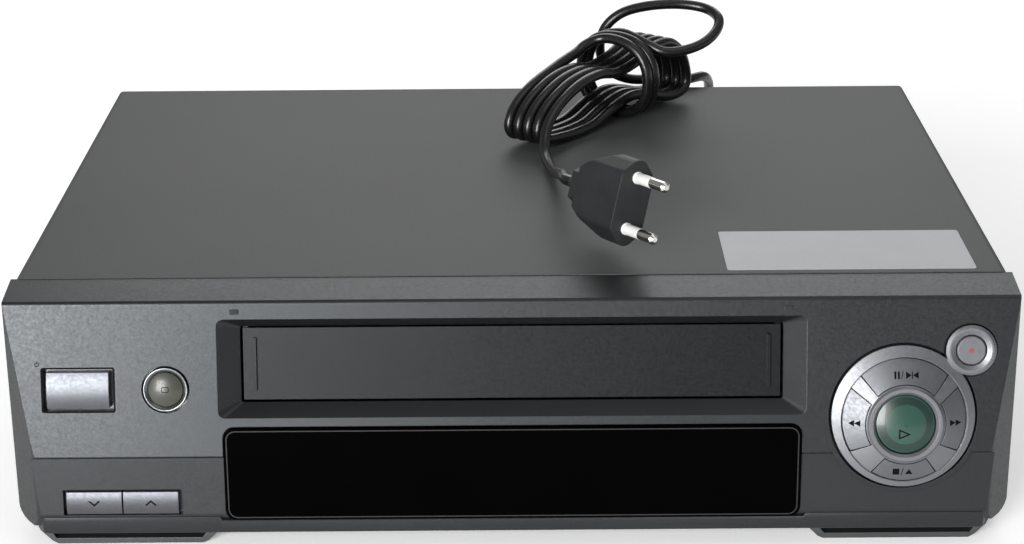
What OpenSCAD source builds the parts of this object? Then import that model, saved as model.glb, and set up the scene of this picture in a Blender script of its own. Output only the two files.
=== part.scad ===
// Front-loading video cassette recorder, built as an assembly of separate pieces.
// X runs to the right as seen from the front, Y from front to back, Z up.
// The origin is the middle of the footprint, on the surface that the feet stand on.

/* [Case] */
// Width of the moulded front
front_w = 360; // [350:1:380]
// Height from the standing surface to the top of the cover
overall_h = 94; // [92:1:104]
// Depth from the front's upper edge to the cover's rear edge
body_d = 258; // [250:1:300]
// Height of the feet below the case
foot_h = 8.7; // [6:0.1:10]
// Amount by which the cover is narrower than the front, on each side
cover_step = 1.3; // [0.6:0.1:3]
// Thickness of the cover's steel sheet
sheet_t = 0.8; // [0.6:0.1:1.2]
// Thickness of the bottom pan and the rear panel
pan_t = 1; // [0.8:0.1:1.5]
// Length by which the sockets stand out of the rear panel
rear_reach = 8; // [7:0.5:10]

/* [Front] */
// Wall of the moulded front
wall = 2.5; // [2:0.1:3]
// Depth of the sloping ledge on top of the front
ledge_d = 18; // [14:0.5:24]
// Fall of the ledge from the cover to the front's upper edge
ledge_drop = 2.6; // [1.5:0.1:4]
// Lean of the front's upper tier from the vertical, in degrees
tilt = 12.5; // [10:0.5:14]
// Length of the upper tier down its slope
tier_l = 55.9; // [54.5:0.1:58]
// Depth of the step below the upper tier
tier_step = 1.8; // [1:0.1:2.4]
// Outward flare of the lower tier towards its foot
lower_flare = 2.4; // [1:0.1:3]
// Inward lean of each side crease down the upper tier
crease_in = 9.4; // [7:0.1:11]

/* [Cassette slot] */
// Width of a standard cassette
cassette_w = 188; // [186:0.5:190]
// Thickness of a standard cassette
cassette_h = 25; // [24.5:0.1:25.5]
// Space round a cassette in its holder
cassette_gap = 0.6; // [0.4:0.1:0.8]
// Width of the slot's bevel at each side
slot_bevel = 8.2; // [6:0.1:9]
// Depth of the slot's recess, square to the upper tier
recess_d = 5.4; // [4.5:0.1:6]
// Thickness of the cassette door
door_t = 2.4; // [2:0.1:2.8]
// Gap round the cassette door
door_gap = 0.6; // [0.4:0.1:0.8]

/* [Display window] */
// Width of the display window
window_w = 206; // [190:1:208]
// Height of the window's top edge above the standing surface
window_top = 47.2; // [45:0.1:48]
// Height of the window's bottom edge above the standing surface
window_low = 12.2; // [12:0.1:16]
// Thickness of the window
window_t = 2.6; // [2:0.1:3]

/* [Buttons] */
// Travel of every button
key_travel = 1; // [0.6:0.1:1.2]
// Gap between a button and its hole
key_gap = 0.5; // [0.4:0.05:0.8]
// Width of the power button
power_w = 22.1; // [20:0.1:24]
// Height of the power button
power_h = 12.9; // [11:0.1:14]
// Radius of the one-touch button
touch_r = 8; // [7:0.1:9]
// Width of each channel button
channel_w = 19.8; // [17:0.1:21]
// Height of the channel buttons
channel_h = 8.2; // [7:0.1:9]
// Outer radius of the round control bezel
dial_r = 25.5; // [25.2:0.1:25.8]
// Outer radius of the four ring buttons
ring_r = 22; // [21:0.1:22.3]
// Inner radius of the four ring buttons
ring_in_r = 14.4; // [14:0.1:15]
// Radius of the play button
play_r = 10.4; // [9.5:0.1:10.8]
// Radius of the collar round the record button
collar_r = 9; // [8.8:0.1:9.6]
// Radius of the record button
record_r = 5.2; // [5:0.1:5.6]

/* [Tape mechanism] */
// Travel of the cassette holder towards the back
load_in = 58; // [54:1:60]
// Drop of the cassette holder onto the reels
load_down = 18; // [16:0.5:18]
// Thickness of the mechanism's chassis plate
chassis_t = 1.5; // [1.2:0.1:2]
// Distance between the two reel axes
reel_pitch = 92.3; // [92:0.1:93]
// Radius of the reel tables
reel_r = 22; // [20:0.5:22.5]
// Radius of the head drum
drum_r = 31; // [29:0.5:31.5]
// Lean of the head drum, in degrees
drum_lean = 5; // [3:0.5:6]
// Radius of the capstan's flywheel
flywheel_r = 28; // [24:1:29]
// Radius of the capstan shaft
capstan_r = 1.5; // [1.2:0.1:2]
// Radius of the pinch roller
pinch_r = 6.5; // [5.5:0.1:6.6]
// Tooth pitch over pi of the loading rack and its pinion
rack_m = 1; // [0.9:0.05:1.1]
// Teeth on the rack's pinion
rack_teeth = 20; // [18:1:20]
// Tooth pitch over pi of the cam gear and its pinion
cam_m = 0.8; // [0.7:0.05:0.85]
// Teeth on the cam gear
cam_teeth = 60; // [54:1:60]
// Teeth on the cam's pinion
drive_teeth = 12; // [10:1:14]
// Radial clearance of every running shaft
fit_r = 0.05; // [0.02:0.01:0.1]

/* [Mains cord] */
// Diameter of the mains cord
cord_d = 4.4; // [4:0.1:4.6]
// Pitch between the two plug pins
pin_pitch = 19; // [18.6:0.1:19.4]
// Diameter of a plug pin
pin_d = 4; // [3.9:0.05:4.2]
// Length of a plug pin
pin_l = 19; // [18:0.5:20]

/* [Hidden] */
$fn = 48;
EPS = 0.02;
collar_lap = 1.05;

// Places on the sloping tier: X, then the distance down the slope from the front's upper edge
slot_low = 36.9;
slot_high = slot_low - (cassette_h + 2.2) / cos(tilt) + 0.66;
slot_w = cassette_w + 2 * cassette_gap + 3.4;
slot_edge = slot_w / 2 + slot_bevel;
side_gap = front_w / 2 - slot_edge;
bevel_v = 3.3;
bevel_low_v = 5.1;
power_at = [-beside_slot(0.6543), 31.4];
touch_at = [-beside_slot(0.2437), 31.4];
dial_at = [beside_slot(0.4543), 42.8];
record_reach = dial_r + collar_r - collar_lap;
record_dx = 0.3139 * side_gap;
record_at = dial_at + [record_dx, -sqrt(record_reach * record_reach - record_dx * record_dx)];
channel_x = -beside_slot(0.4689);
channel_z = 19.1;
ring_half = [44, 30.5, 30.5, 30.5];
ring_mid = [90, 180, 0, 270];

// The ring buttons and the hub round the play button lie lower on the tier than the bezel's middle
ring_at = dial_at + [0.3, 1.1];
play_at = dial_at + [0.6, 2.6];
hub_r = ring_in_r - 0.5;
hub_edge = 0.9;
hub_top = 3.77;
band_low = 0.4;
cone_low = -0.4;
cone_top = 2.9;

// Places along the depth and the height
nose_reach = (play_at[1] + hub_r - hub_edge) * sin(tilt) + hub_top * cos(tilt);
front_y = -(body_d + rear_reach - nose_reach) / 2;
rear_y = front_y + body_d;
edge_z = overall_h - ledge_drop;
cover_w = front_w - 2 * cover_step;
pan_w = cover_w - 2 * sheet_t - 1;
pan_z = foot_h + pan_t;
tier_out = tier_l * sin(tilt);
tier_z = edge_z - tier_l * cos(tilt);
panel_y = rear_y - sheet_t - pan_t;
ledge_z = overall_h - 0.3;

// Mechanism layout, as distances behind the front's upper edge
door_pivot = [6.2, 84];
door_pin_r = 1.2;
holder_y = 42;
holder_l = 46;
holder_t = 1;
cassette_floor = foot_h + 45.9;
holder_in_w = cassette_w + 2 * cassette_gap;
slider_x = holder_in_w / 2 + holder_t + 1.2;
slider_t = 1.2;
pinion_x = slider_x + slider_t + 0.7;
side_x = slider_x + slider_t + 3.2;
side_t = 1.2;
rack_h = 4;
rack_z = cassette_floor + 27.4;
rack_pitch_r = rack_m * rack_teeth / 2;
pinion_at = [90, rack_z - rack_pitch_r];
chassis_z = cassette_floor - load_down - holder_t - chassis_t - 1.1;
deck_z = chassis_z + chassis_t;
chassis_w = 2 * (side_x + side_t + 8);
chassis_y = 32;
chassis_l = body_d - chassis_y - 22;
reel_y = 84;
idler_pivot = [0, 112];
idler_r = reel_pitch / 2 - reel_r - 6.1;
drum_at = [0, body_d - 62];
capstan_at = [58, 151];
pinch_pivot = [84, 163];
pinch_arm_l = 21;
pinch_rest = 160;
guide_x = 40;
guide_y = 128;
guide_travel = 56;
cam_at = [-85, 175];
cam_r = cam_m * cam_teeth / 2;
drive_r = cam_m * drive_teeth / 2;
drive_at = [cam_at[0], cam_at[1] + cam_r + drive_r];
stud_r = 2;
board_z = pan_z + 4.3;
board_t = 1.6;
key_board_out = -16;
switch_h = 3.9;
stem_reach = -key_board_out - board_t - switch_h - key_travel - 0.3;

// Places on the rear panel
scart_x = [-20, 42];
scart_z = foot_h + 22;
tuner_x = 33 - front_w / 2;
tuner_z = foot_h + 40;
jack_x = -70;
jack_z = foot_h + 22;
jack_pitch = 14;
gland_x = 95;
gland_z = 32;
gland_neck_r = 4.6;

// Distance from the middle of a place between the slot's edge and the front's edge
function beside_slot(share) = slot_edge + share * side_gap;

// Outline helpers
function unit(v) = v / norm(v);
function turn_to(a) = a > 180 ? a - 360 : a < -180 ? a + 360 : a;
function fillet(p0, p1, p2, r, n) =
    let(
        a = unit(p0 - p1),
        b = unit(p2 - p1),
        half = acos(a * b) / 2,
        c = p1 + unit(a + b) * r / sin(half),
        s = p1 + a * r / tan(half) - c,
        e = p1 + b * r / tan(half) - c,
        from = atan2(s[1], s[0]),
        sweep = turn_to(atan2(e[1], e[0]) - from)
    )
    r == 0 ? [p1] : [for (i = [0:n]) c + r * [cos(from + sweep * i / n), sin(from + sweep * i / n)]];
function rounded(pts, radii, n = 5) =
    let(m = len(pts))
    [for (i = [0:m - 1]) each fillet(pts[(i + m - 1) % m], pts[i], pts[(i + 1) % m], radii[i], n)];
function round_rect(w, h, r, n = 5) =
    rounded([[-w / 2, -h / 2], [w / 2, -h / 2], [w / 2, h / 2], [-w / 2, h / 2]], [r, r, r, r], n);
function arc(r, from, to, n) = [for (i = [0:n]) r * [cos(from + (to - from) * i / n),
    sin(from + (to - from) * i / n)]];
// Outline of a ring button, about the ring's middle, with its inner arc about the play button
function sector(r_in, r_out, mid, half, n = 14) =
    let(to_hub = [play_at[0] - ring_at[0], ring_at[1] - play_at[1]])
    concat(
        arc(r_out, mid - half, mid + half, n),
        [for (p = arc(r_in, mid + half, mid - half, n)) p + to_hub]
    );

// A spur gear's outline, with straight flanks and backlash on both sides
function gear_outline(m, teeth) =
    let(r = m * teeth / 2, step = 360 / teeth, tip = step * 0.1, root = step * 0.27)
    [for (i = [0:teeth - 1]) each [
        (r - 1.2 * m) * [cos(i * step - root), sin(i * step - root)],
        (r + 0.8 * m) * [cos(i * step - tip), sin(i * step - tip)],
        (r + 0.8 * m) * [cos(i * step + tip), sin(i * step + tip)],
        (r - 1.2 * m) * [cos(i * step + root), sin(i * step + root)]
    ]];

// Placing helpers
module along_x(w) {
    translate([-w / 2, 0, 0]) rotate([90, 0, 90]) linear_extrude(w) children();
}
module along_y(from, to) {
    translate([0, to, 0]) rotate([90, 0, 0]) linear_extrude(to - from) children();
}
module on_tier(at, out = 0) {
    translate([at[0], front_y - at[1] * sin(tilt), edge_z - at[1] * cos(tilt)])
        rotate([90 - tilt, 0, 0]) translate([0, 0, out]) children();
}
module on_lower(x, z, out = 0) {
    translate([x, lower_y(z), z]) rotate([90 - flare_angle(), 0, 0]) translate([0, 0, out]) children();
}
module at_mech(at, z = 0) {
    translate([at[0], front_y + at[1], z]) children();
}
module at_rear(x, z) {
    translate([x, rear_y, z]) rotate([-90, 0, 0]) children();
}
module both_sides() {
    children();
    mirror([1, 0, 0]) children();
}

// Lower tier of the front
function flare_z() = foot_h + 5;
function step_z() = tier_z - 1.2;
function flare_angle() = atan2(lower_flare, step_z() - flare_z());
function lower_y(z) = front_y - tier_out + tier_step - lower_flare * (step_z() - z) / (step_z() - flare_z());

// Moulded front

function front_profile(inset) =
    let(t = inset, back = inset > 0 ? 1 : 0)
    rounded([
        [front_y + ledge_d + back, ledge_z - t],
        [front_y - t * sin(tilt) + t * cos(tilt), edge_z - t * cos(tilt) - t * sin(tilt)],
        [front_y - tier_out + t * cos(tilt), tier_z - t * sin(tilt)],
        [lower_y(step_z()) + t, step_z() - t],
        [lower_y(flare_z()) + t, flare_z()],
        [front_y - tier_out + 2.6 + t, foot_h + t],
        [front_y + ledge_d + back, foot_h + t]
    ], [0, inset > 0 ? 0 : 1.6, inset > 0 ? 0 : 0.4, 0, 3, 1, 0]);
function front_plan(inset) =
    let(
        w = front_w / 2 - inset,
        nose = tier_out + 1.4 - inset,
        lean = crease_in / tier_out,
        back = inset > 0 ? 1 : 0
    )
    rounded([
        [-w, front_y + ledge_d + back],
        [-w, front_y + inset * 0.6],
        [-w + lean * nose, front_y - nose],
        [w - lean * nose, front_y - nose],
        [w, front_y + inset * 0.6],
        [w, front_y + ledge_d + back]
    ], [0, 1.2, 7, 7, 1.2, 0]);
function front_face(inset) =
    rounded([
        [-front_w / 2 + inset, foot_h + inset],
        [front_w / 2 - inset, foot_h + inset],
        [front_w / 2 - inset, overall_h],
        [-front_w / 2 + inset, overall_h]
    ], [5, 5, 0, 0]);

module front_form(inset) {
    intersection() {
        along_x(front_w + 2) polygon(front_profile(inset));
        translate([0, 0, foot_h - 1]) linear_extrude(overall_h) polygon(front_plan(inset));
        along_y(front_y - 40, front_y + ledge_d + 2) polygon(front_face(inset));
    }
}
module slot_funnel(grow, from_z, to_z) {
    hull() {
        on_tier([0, (slot_high - bevel_v + slot_low + bevel_low_v) / 2], from_z)
            linear_extrude(0.05) polygon(round_rect(
                slot_w + 2 * slot_bevel + 2 * grow, slot_low - slot_high + bevel_v + bevel_low_v +
                    2 * grow, 2.5));
        on_tier([0, (slot_high + slot_low) / 2], to_z)
            linear_extrude(0.05) polygon(round_rect(
                slot_w + 2 * grow, slot_low - slot_high + 2 * grow, 0.8));
    }
}
module door_eye(side) {
    translate([side * (slot_w / 2 + 0.2) - (side < 0 ? 3 : 0), front_y - 1, door_pivot[1] - 4])
        cube([3, 14, 8.6]);
}
module front_panel() color("#9aa0a3") {
    difference() {
        union() {
            difference() {
                front_form(0);
                front_form(wall);
            }
            slot_funnel(1.6, -0.6, -recess_d);
            intersection() {
                on_tier(dial_at, -7) cylinder(r = dial_r + 2.6, h = 7);
                translate([0, 0, foot_h]) linear_extrude(overall_h) polygon(front_plan(0));
            }
            for (side = [-1, 1]) door_eye(side);
            both_sides() translate([front_w / 2 - 12, front_y + 4, foot_h + 1]) cube([8, ledge_d - 4, 5]);
        }
        slot_funnel(0, 0, -recess_d - 0.1);
        translate([0, front_y + door_pivot[0], door_pivot[1]]) rotate([0, 90, 0])
            cylinder(r = door_pin_r + fit_r, h = slot_w + 20, center = true);
        along_y(front_y - 30, front_y)
            translate([0, (window_top + window_low) / 2])
                polygon(round_rect(window_w + 0.2, window_top - window_low + 0.2, 4));
        on_tier(power_at, -5) linear_extrude(8) polygon(round_rect(power_w + 3, power_h + 2.3, 0.6));
        on_tier(touch_at, -5) cylinder(r = touch_r + key_gap, h = 8);
        on_lower(channel_x, channel_z, -6)
            linear_extrude(9) polygon(round_rect(2 * channel_w + 3 * key_gap + 1.6, channel_h + 1.4, 0.4));
        on_tier(dial_at, -12) cylinder(r = dial_r - 1.2, h = 20);
        on_tier(dial_at, -5) cylinder(r = dial_r + 0.9, h = 12);
        on_tier(record_at, -8) cylinder(r = collar_r + 0.5, h = 12);
    }
}

// Smoked window in front of the display

function window_y(z) = front_y - 11 - 2.2 * (window_top - z) / (window_top - window_low);
module display_window() color("#0a0b0c") {
    intersection() {
        along_x(window_w) polygon(rounded([
            [window_y(window_top), window_top],
            [window_y(window_low), window_low],
            [window_y(window_low) + window_t, window_low],
            [window_y(window_top) + window_t, window_top]
        ], [0.8, 0.8, 0, 0], 3));
        along_y(front_y - 30, front_y)
            translate([0, (window_top + window_low) / 2])
                polygon(round_rect(window_w, window_top - window_low, 4));
    }
}

// Round bezel of the tape controls, with the record button's collar

module dial_cone(low_r, top_r, low, top) {
    translate([0, 0, low]) cylinder(r1 = low_r, r2 = top_r, h = top - low);
}
module ring_cone() {
    on_tier(play_at) rotate([0, 0, 45]) dial_cone(ring_r + 2.4, hub_r, cone_low, cone_top);
}
module control_bezel() color("#b4b6b8") {
    difference() {
        union() {
            on_tier(dial_at, -5) cylinder(r = dial_r, h = 5 + band_low);
            on_tier(dial_at) dial_cone(dial_r, dial_r - 5, band_low, band_low + 1.5);
            on_tier(record_at, -4) cylinder(r = collar_r, h = 4.8);
            on_tier(record_at) dial_cone(collar_r, collar_r - 1, 0.8, 1.4);
        }
        on_tier(ring_at, -0.2) cylinder(r = ring_r + 0.5, h = 4);
        on_tier(dial_at, -5 - EPS) cylinder(r = dial_r - 1.9, h = 3.4);
        ring_button_holes();
        on_tier(play_at, -6) cylinder(r = play_r + 0.35, h = 12);
        on_tier(record_at, -5) cylinder(r = record_r + 0.35, h = 8);
        on_tier(record_at) dial_cone(record_r + 0.15, collar_r - 1.5, 0.6, 1.5);
    }
    difference() {
        union() {
            intersection() {
                on_tier(ring_at, -1.6) cylinder(r = ring_r + 0.7, h = 6);
                ring_cone();
            }
            on_tier(play_at, -1.6) cylinder(r = hub_r, h = 1.6 + hub_top - hub_edge);
            on_tier(play_at) dial_cone(hub_r, hub_r - hub_edge, hub_top - hub_edge, hub_top);
        }
        ring_button_holes();
        on_tier(play_at, -3) cylinder(r = play_r + 0.35, h = 9);
        on_tier(play_at) dial_cone(play_r + 0.1, play_r + 1.6, hub_top - 1.2, hub_top + 0.3);
    }
}
module ring_button_holes() {
    for (i = [0:3]) on_tier(ring_at, -4)
        linear_extrude(9) polygon(sector(ring_in_r - 0.3, ring_r + 0.3, ring_mid[i], ring_half[i] + 1));
}

// Sheet steel case

module top_cover() color("#626462") {
    difference() {
        along_y(front_y + ledge_d, rear_y)
            polygon(rounded([
                [-cover_w / 2, foot_h + 1.6], [cover_w / 2, foot_h + 1.6],
                [cover_w / 2, overall_h], [-cover_w / 2, overall_h]
            ], [0, 0, 2.4, 2.4]));
        along_y(front_y + ledge_d - 1, rear_y - sheet_t)
            polygon(rounded([
                [-cover_w / 2 + sheet_t, foot_h], [cover_w / 2 - sheet_t, foot_h],
                [cover_w / 2 - sheet_t, overall_h - sheet_t], [-cover_w / 2 + sheet_t, overall_h - sheet_t]
            ], [0, 0, 1.6, 1.6]));
        along_y(rear_y - 2 * sheet_t, rear_y + 1)
            translate([-cover_w / 2 + 9, foot_h]) square([cover_w - 18, overall_h - foot_h - 9]);
        for (side = [-1, 1]) for (i = [0:9])
            translate([side * cover_w / 2 - 2, rear_y - 88 + i * 7, foot_h + 14]) cube([4, 3, 14]);
        for (x = [-1, 0, 1]) at_rear(x * (cover_w / 2 - 40), overall_h - 4.8)
            cylinder(r = 1.6, h = 6, center = true);
        for (y = side_screw_y()) translate([0, y, foot_h + 7]) rotate([0, 90, 0])
            cylinder(r = 1.6, h = cover_w + 2, center = true);
    }
}
function side_screw_y() = [front_y + 50, rear_y - 30];
module bottom_pan() color("#a8abad") {
    difference() {
        union() {
            translate([-pan_w / 2, front_y + ledge_d, foot_h])
                cube([pan_w, panel_y - front_y - ledge_d, pan_t]);
            both_sides() translate([pan_w / 2 - pan_t, front_y + ledge_d + 2, foot_h])
                cube([pan_t, panel_y - front_y - ledge_d - 2, 22]);
            for (at = board_posts()) translate([at[0], at[1], pan_z - EPS])
                cylinder(r = 3, h = board_z - pan_z + EPS);
            for (at = chassis_posts()) translate([at[0], at[1], pan_z - EPS])
                cylinder(r = 4, h = chassis_z - pan_z + EPS);
        }
        for (i = [0:13]) translate([-70 + i * 9, front_y + 150, foot_h - 1]) cube([4, 60, 4]);
        for (i = [0:5]) translate([pan_w / 2 - 55.4 + i * 8, front_y + 150, foot_h - 1]) cube([3.4, 50, 4]);
        for (y = side_screw_y()) translate([0, y, foot_h + 7]) rotate([0, 90, 0])
            cylinder(r = 1.3, h = cover_w + 2, center = true);
    }
}
function board_posts() = [
    for (x = [-pan_w / 2 + 12, -chassis_w / 2 - 7.6, chassis_w / 2 + 9, pan_w / 2 - 8])
        for (y = [front_y + 36, rear_y - 24]) [x, y]
];
function chassis_posts() = [
    for (x = [-chassis_w / 2 + 7, chassis_w / 2 - 7])
        for (y = [chassis_y + 10, chassis_y + chassis_l - 10]) [x, front_y + y]
];
module rear_panel() color("#8e9192") {
    difference() {
        translate([-pan_w / 2, panel_y, foot_h]) cube([pan_w, pan_t, overall_h - sheet_t - 0.4 - foot_h]);
        for (x = scart_x) at_rear(x, scart_z) translate([0, 0, -8]) linear_extrude(10)
            square([47, 15], center = true);
        for (x = [-10, 10]) at_rear(tuner_x + x, tuner_z) cylinder(r = 6.2, h = 10, center = true);
        at_rear(jack_x, jack_z) translate([0, 0, -8]) linear_extrude(10)
            square([2 * jack_pitch - 2, 11], center = true);
        at_rear(gland_x, gland_z) cylinder(r = gland_neck_r, h = 12, center = true);
        for (x = [-1, 0, 1]) at_rear(x * (cover_w / 2 - 40), overall_h - 4.8)
            cylinder(r = 1.3, h = 12, center = true);
    }
}
module foot_profile(x0, x1) {
    polygon(rounded([
        [x0, foot_h], [x0 + 1.5, foot_h - 3.4], [x0 + 7, 0], [x1 - 9, 0], [x1, foot_h - 0.4], [x1, foot_h]
    ], [0, 1.6, 3, 3, 0, 0]));
}
module front_foot(x0, x1) {
    difference() {
        along_y(front_y - 6.4, front_y + 16) foot_profile(x0, x1);
        along_y(front_y - 7, front_y - 0.6)
            polygon([[x0 + 8, 3.4], [x1 - 11, 3.4], [x1 - 15, foot_h - 1.2], [x0 + 4.6, foot_h - 1.2]]);
        translate([(x0 + x1) / 2 - 14, front_y + 3, -1]) cube([28, 9, 2]);
    }
    translate([(x0 + x1) / 2 - 13.7, front_y + 3.3, 0]) cube([27.4, 8.4, 1 + EPS]);
}
module left_foot() {
    front_foot(7 - front_w / 2, 77 - front_w / 2);
}
module foot_front_left() color("#8f9496") left_foot();
module foot_front_right() color("#8f9496") mirror([1, 0, 0]) left_foot();
module rear_feet() color("#2a2b2c") {
    for (side = [-1, 1]) translate([side * (front_w / 2 - 42), rear_y - 34, 0]) {
        cylinder(r1 = 10.5, r2 = 12, h = foot_h - 2);
        translate([0, 0, foot_h - 2 - EPS]) cylinder(r = 12, h = 2 + EPS);
    }
}
module screw_head() {
    difference() {
        union() {
            cylinder(r1 = 3, r2 = 2.4, h = 1.5);
            translate([0, 0, -2.6]) cylinder(r = 1.25, h = 2.7);
        }
        for (a = [0, 90]) translate([0, 0, 1.1]) rotate([0, 0, a]) cube([3.2, 0.6, 1.4], center = true);
    }
}
module case_screws() color("#5b5d5e") {
    for (x = [-1, 0, 1]) at_rear(x * (cover_w / 2 - 40), overall_h - 4.8) screw_head();
    for (side = [-1, 1]) for (y = side_screw_y())
        translate([side * cover_w / 2, y, foot_h + 7]) rotate([0, side * 90, 0]) screw_head();
}

// Sockets on the rear panel

module scart_sockets() color("#1d1e20") {
    for (x = scart_x) at_rear(x, scart_z) difference() {
        union() {
            translate([0, 0, -16]) linear_extrude(16 + 3) polygon(round_rect(46, 14, 1));
            translate([0, 0, -sheet_t]) linear_extrude(1) polygon(round_rect(52, 18, 1.5));
        }
        translate([0, 0, -6]) linear_extrude(12) difference() {
            polygon([[-22, -5.6], [18.4, -5.6], [22, -2.4], [22, 5.6], [-22, 5.6]]);
            polygon([[-20.6, -4], [18, -4], [20.4, -1.8], [20.4, 4], [-20.6, 4]]);
        }
        for (i = [0:9]) for (row = [-1, 1])
            translate([-18 + i * 3.81 + (row > 0 ? 1.9 : 0), row * 1.9, 2])
                cube([1.4, 2.6, 10], center = true);
    }
}
module tuner() color("#c4c6c7") {
    translate([tuner_x - 26, panel_y - 52, tuner_z - 24]) cube([52, 52, 32]);
    at_rear(tuner_x - 10, tuner_z) translate([0, 0, -pan_t - sheet_t - EPS])
        cylinder(r = 5.9, h = pan_t + sheet_t + EPS);
    at_rear(tuner_x - 10, tuner_z) difference() {
        translate([0, 0, -EPS]) cylinder(r = 4.75, h = rear_reach + EPS);
        cylinder(r = 4.1, h = rear_reach + 1);
    }
    at_rear(tuner_x - 10, tuner_z) cylinder(r = 1.2, h = rear_reach - 1.5);
    at_rear(tuner_x + 10, tuner_z) difference() {
        translate([0, 0, -pan_t - sheet_t - EPS]) cylinder(r = 6, h = rear_reach + pan_t + sheet_t);
        cylinder(r = 4.8, h = rear_reach + 1);
    }
    at_rear(tuner_x + 10, tuner_z) difference() {
        cylinder(r = 2.3, h = rear_reach - 1.5);
        translate([0, 0, 1]) cylinder(r = 1.25, h = rear_reach);
    }
}
module audio_jacks() color("#d0cfc8") {
    at_rear(jack_x, jack_z) translate([0, 0, -10]) linear_extrude(10.4)
        polygon(round_rect(2 * jack_pitch - 2.4, 10.6, 1));
    for (side = [-1, 1]) at_rear(jack_x + side * jack_pitch / 2, jack_z) difference() {
        cylinder(r = 4.15, h = rear_reach - 0.5);
        translate([0, 0, 1]) cylinder(r = 1.65, h = rear_reach);
    }
}
module cord_gland() color("#161617") {
    at_rear(gland_x, gland_z) difference() {
        union() {
            translate([0, 0, -7]) cylinder(r = gland_neck_r - 0.1, h = 8);
            translate([0, 0, -sheet_t]) cylinder(r = 7, h = 3);
            cylinder(r1 = 5.4, r2 = 3.8, h = rear_reach);
            translate([0, 0, -8.8]) cylinder(r = 6, h = 2);
        }
        translate([0, 0, -12]) cylinder(r = cord_d / 2 + 0.1, h = 11);
    }
}

// Circuit boards and power supply

module main_board() color("#3f6b3a") {
    difference() {
        translate([-pan_w / 2 + 5, front_y + 24, board_z])
            cube([(pan_w + chassis_w) / 2 - 3, panel_y - front_y - 28, board_t]);
        for (at = chassis_posts()) translate([at[0], at[1], board_z - 1]) cylinder(r = 5, h = 4);
    }
}
module board_parts() color("#1e1f22") {
    from_x = -pan_w / 2;
    for (at = [[27.4, 60, 24, 18, 3.4], [31.4, 104, 30, 12, 3.4], [25.4, 146, 18, 18, 3.4],
        [79.4, 60, 14, 20, 2.2]])
        translate([from_x + at[0] - at[2] / 2, front_y + at[1] - at[3] / 2, board_z + board_t])
            cube([at[2], at[3], at[4]]);
    for (at = [
        [11.4, 44, 4, 12], [43.4, 84, 5, 14], [11.4, 128, 4, 11], [47.4, 130, 3.2, 9],
            [13.4, body_d - 76, 5, 13]
    ]) translate([from_x + at[0], front_y + at[1], board_z + board_t]) cylinder(r = at[2], h = at[3]);
}
module power_board() color("#a98a4d") {
    translate([chassis_w / 2 + 7, front_y + 24, board_z])
        cube([(pan_w - chassis_w) / 2 - 11, panel_y - front_y - 28, board_t]);
    for (i = [0:6]) translate([pan_w / 2 - 12 - i * 4, front_y + 60, board_z + board_t - EPS])
        cube([1.2, 40, 30]);
    translate([pan_w / 2 - 37.2, front_y + 78, board_z + board_t - EPS]) cube([26.4, 2.4, 30]);
    for (at = [[-30, 124, 9, 30], [-14, 136, 6, 22], [-46, 140, 5, 18], [-46, 50, 6, 14]])
        translate([pan_w / 2 + at[0], front_y + at[1], board_z + board_t - EPS])
            cylinder(r = at[2], h = at[3]);
}
module power_transformer() color("#b3752f") {
    translate([(pan_w + chassis_w) / 4 - 22, rear_y - 90, board_z + board_t]) {
        cube([44, 10, 34]);
        translate([0, 28, 0]) cube([44, 10, 34]);
        translate([8, 9.9, 4]) cube([28, 18.2, 26]);
    }
}
module front_board() color("#4a7040") {
    on_tier([power_at[0] + 13, 35], key_board_out) linear_extrude(board_t) square([52, 34], center = true);
    on_tier([slot_edge + side_gap / 2 - 0.25, 40], key_board_out) linear_extrude(board_t)
        square([side_gap - 15.5, 50], center = true);
    translate([12 - front_w / 2, front_y + 4, foot_h + 4]) cube([front_w - 24, board_t, 22]);
}
module display_tube() color("#27403c") {
    translate([-64, front_y - 4, foot_h + 7]) cube([128, 7, 20]);
    for (i = [0:15]) translate([-56 + i * 7.4, front_y + 2.9, foot_h + 12]) cube([0.8, 1.1, 12]);
}
module tact() {
    translate([-3, -3, 0]) cube([6, 6, switch_h - 1]);
    cylinder(r = 1.7, h = switch_h);
}
function ring_button_at(i) = ring_at + 18 * [cos(ring_mid[i]), -sin(ring_mid[i])];
function channel_button_x(side) = channel_x + side * (channel_w + key_gap) / 2;
module key_switches() color("#202124") {
    for (at = concat([power_at, touch_at, record_at], [for (i = [0:3]) ring_button_at(i)], [play_at]))
        on_tier(at, key_board_out + board_t) tact();
    for (side = [-1, 1]) translate([channel_button_x(side), front_y + 4, channel_z])
        rotate([90, 0, 0]) tact();
}

// Buttons. Each has a cap, a stem that reaches towards its switch and a keeping flange

module stem() {
    translate([0, 0, -stem_reach]) cylinder(r = 1.8, h = stem_reach - 3);
}
module power_button() color("#c3c5cc") {
    on_tier(power_at) {
        intersection() {
            translate([-power_w / 2, -power_h / 2, -4]) cube([power_w, power_h, 8]);
            translate([0, 0, 1.3 - 26]) rotate([0, 90, 0])
                cylinder(r = 26, h = power_w + 2, center = true, $fn = 96);
        }
        stem();
        translate([-power_w / 2 - 2.6, -power_h / 2 - 2.2, -5.2]) cube([power_w + 5.2, power_h + 4.4, 1.4]);
    }
}
module one_touch_button() color("#a7a9a2") {
    on_tier(touch_at) {
        difference() {
            translate([0, 0, -4]) cylinder(r = touch_r, h = 4.6);
            translate([0, 0, -0.4]) cylinder(r1 = touch_r - 2, r2 = touch_r - 0.7, h = 1.01);
        }
        intersection() {
            translate([0, 0, -12.6]) sphere(r = 14, $fn = 96);
            translate([0, 0, -1]) cylinder(r = touch_r - 1.9, h = 5);
        }
        stem();
        translate([0, 0, -5.2]) cylinder(r = touch_r + 1.8, h = 1.4);
    }
}
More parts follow.
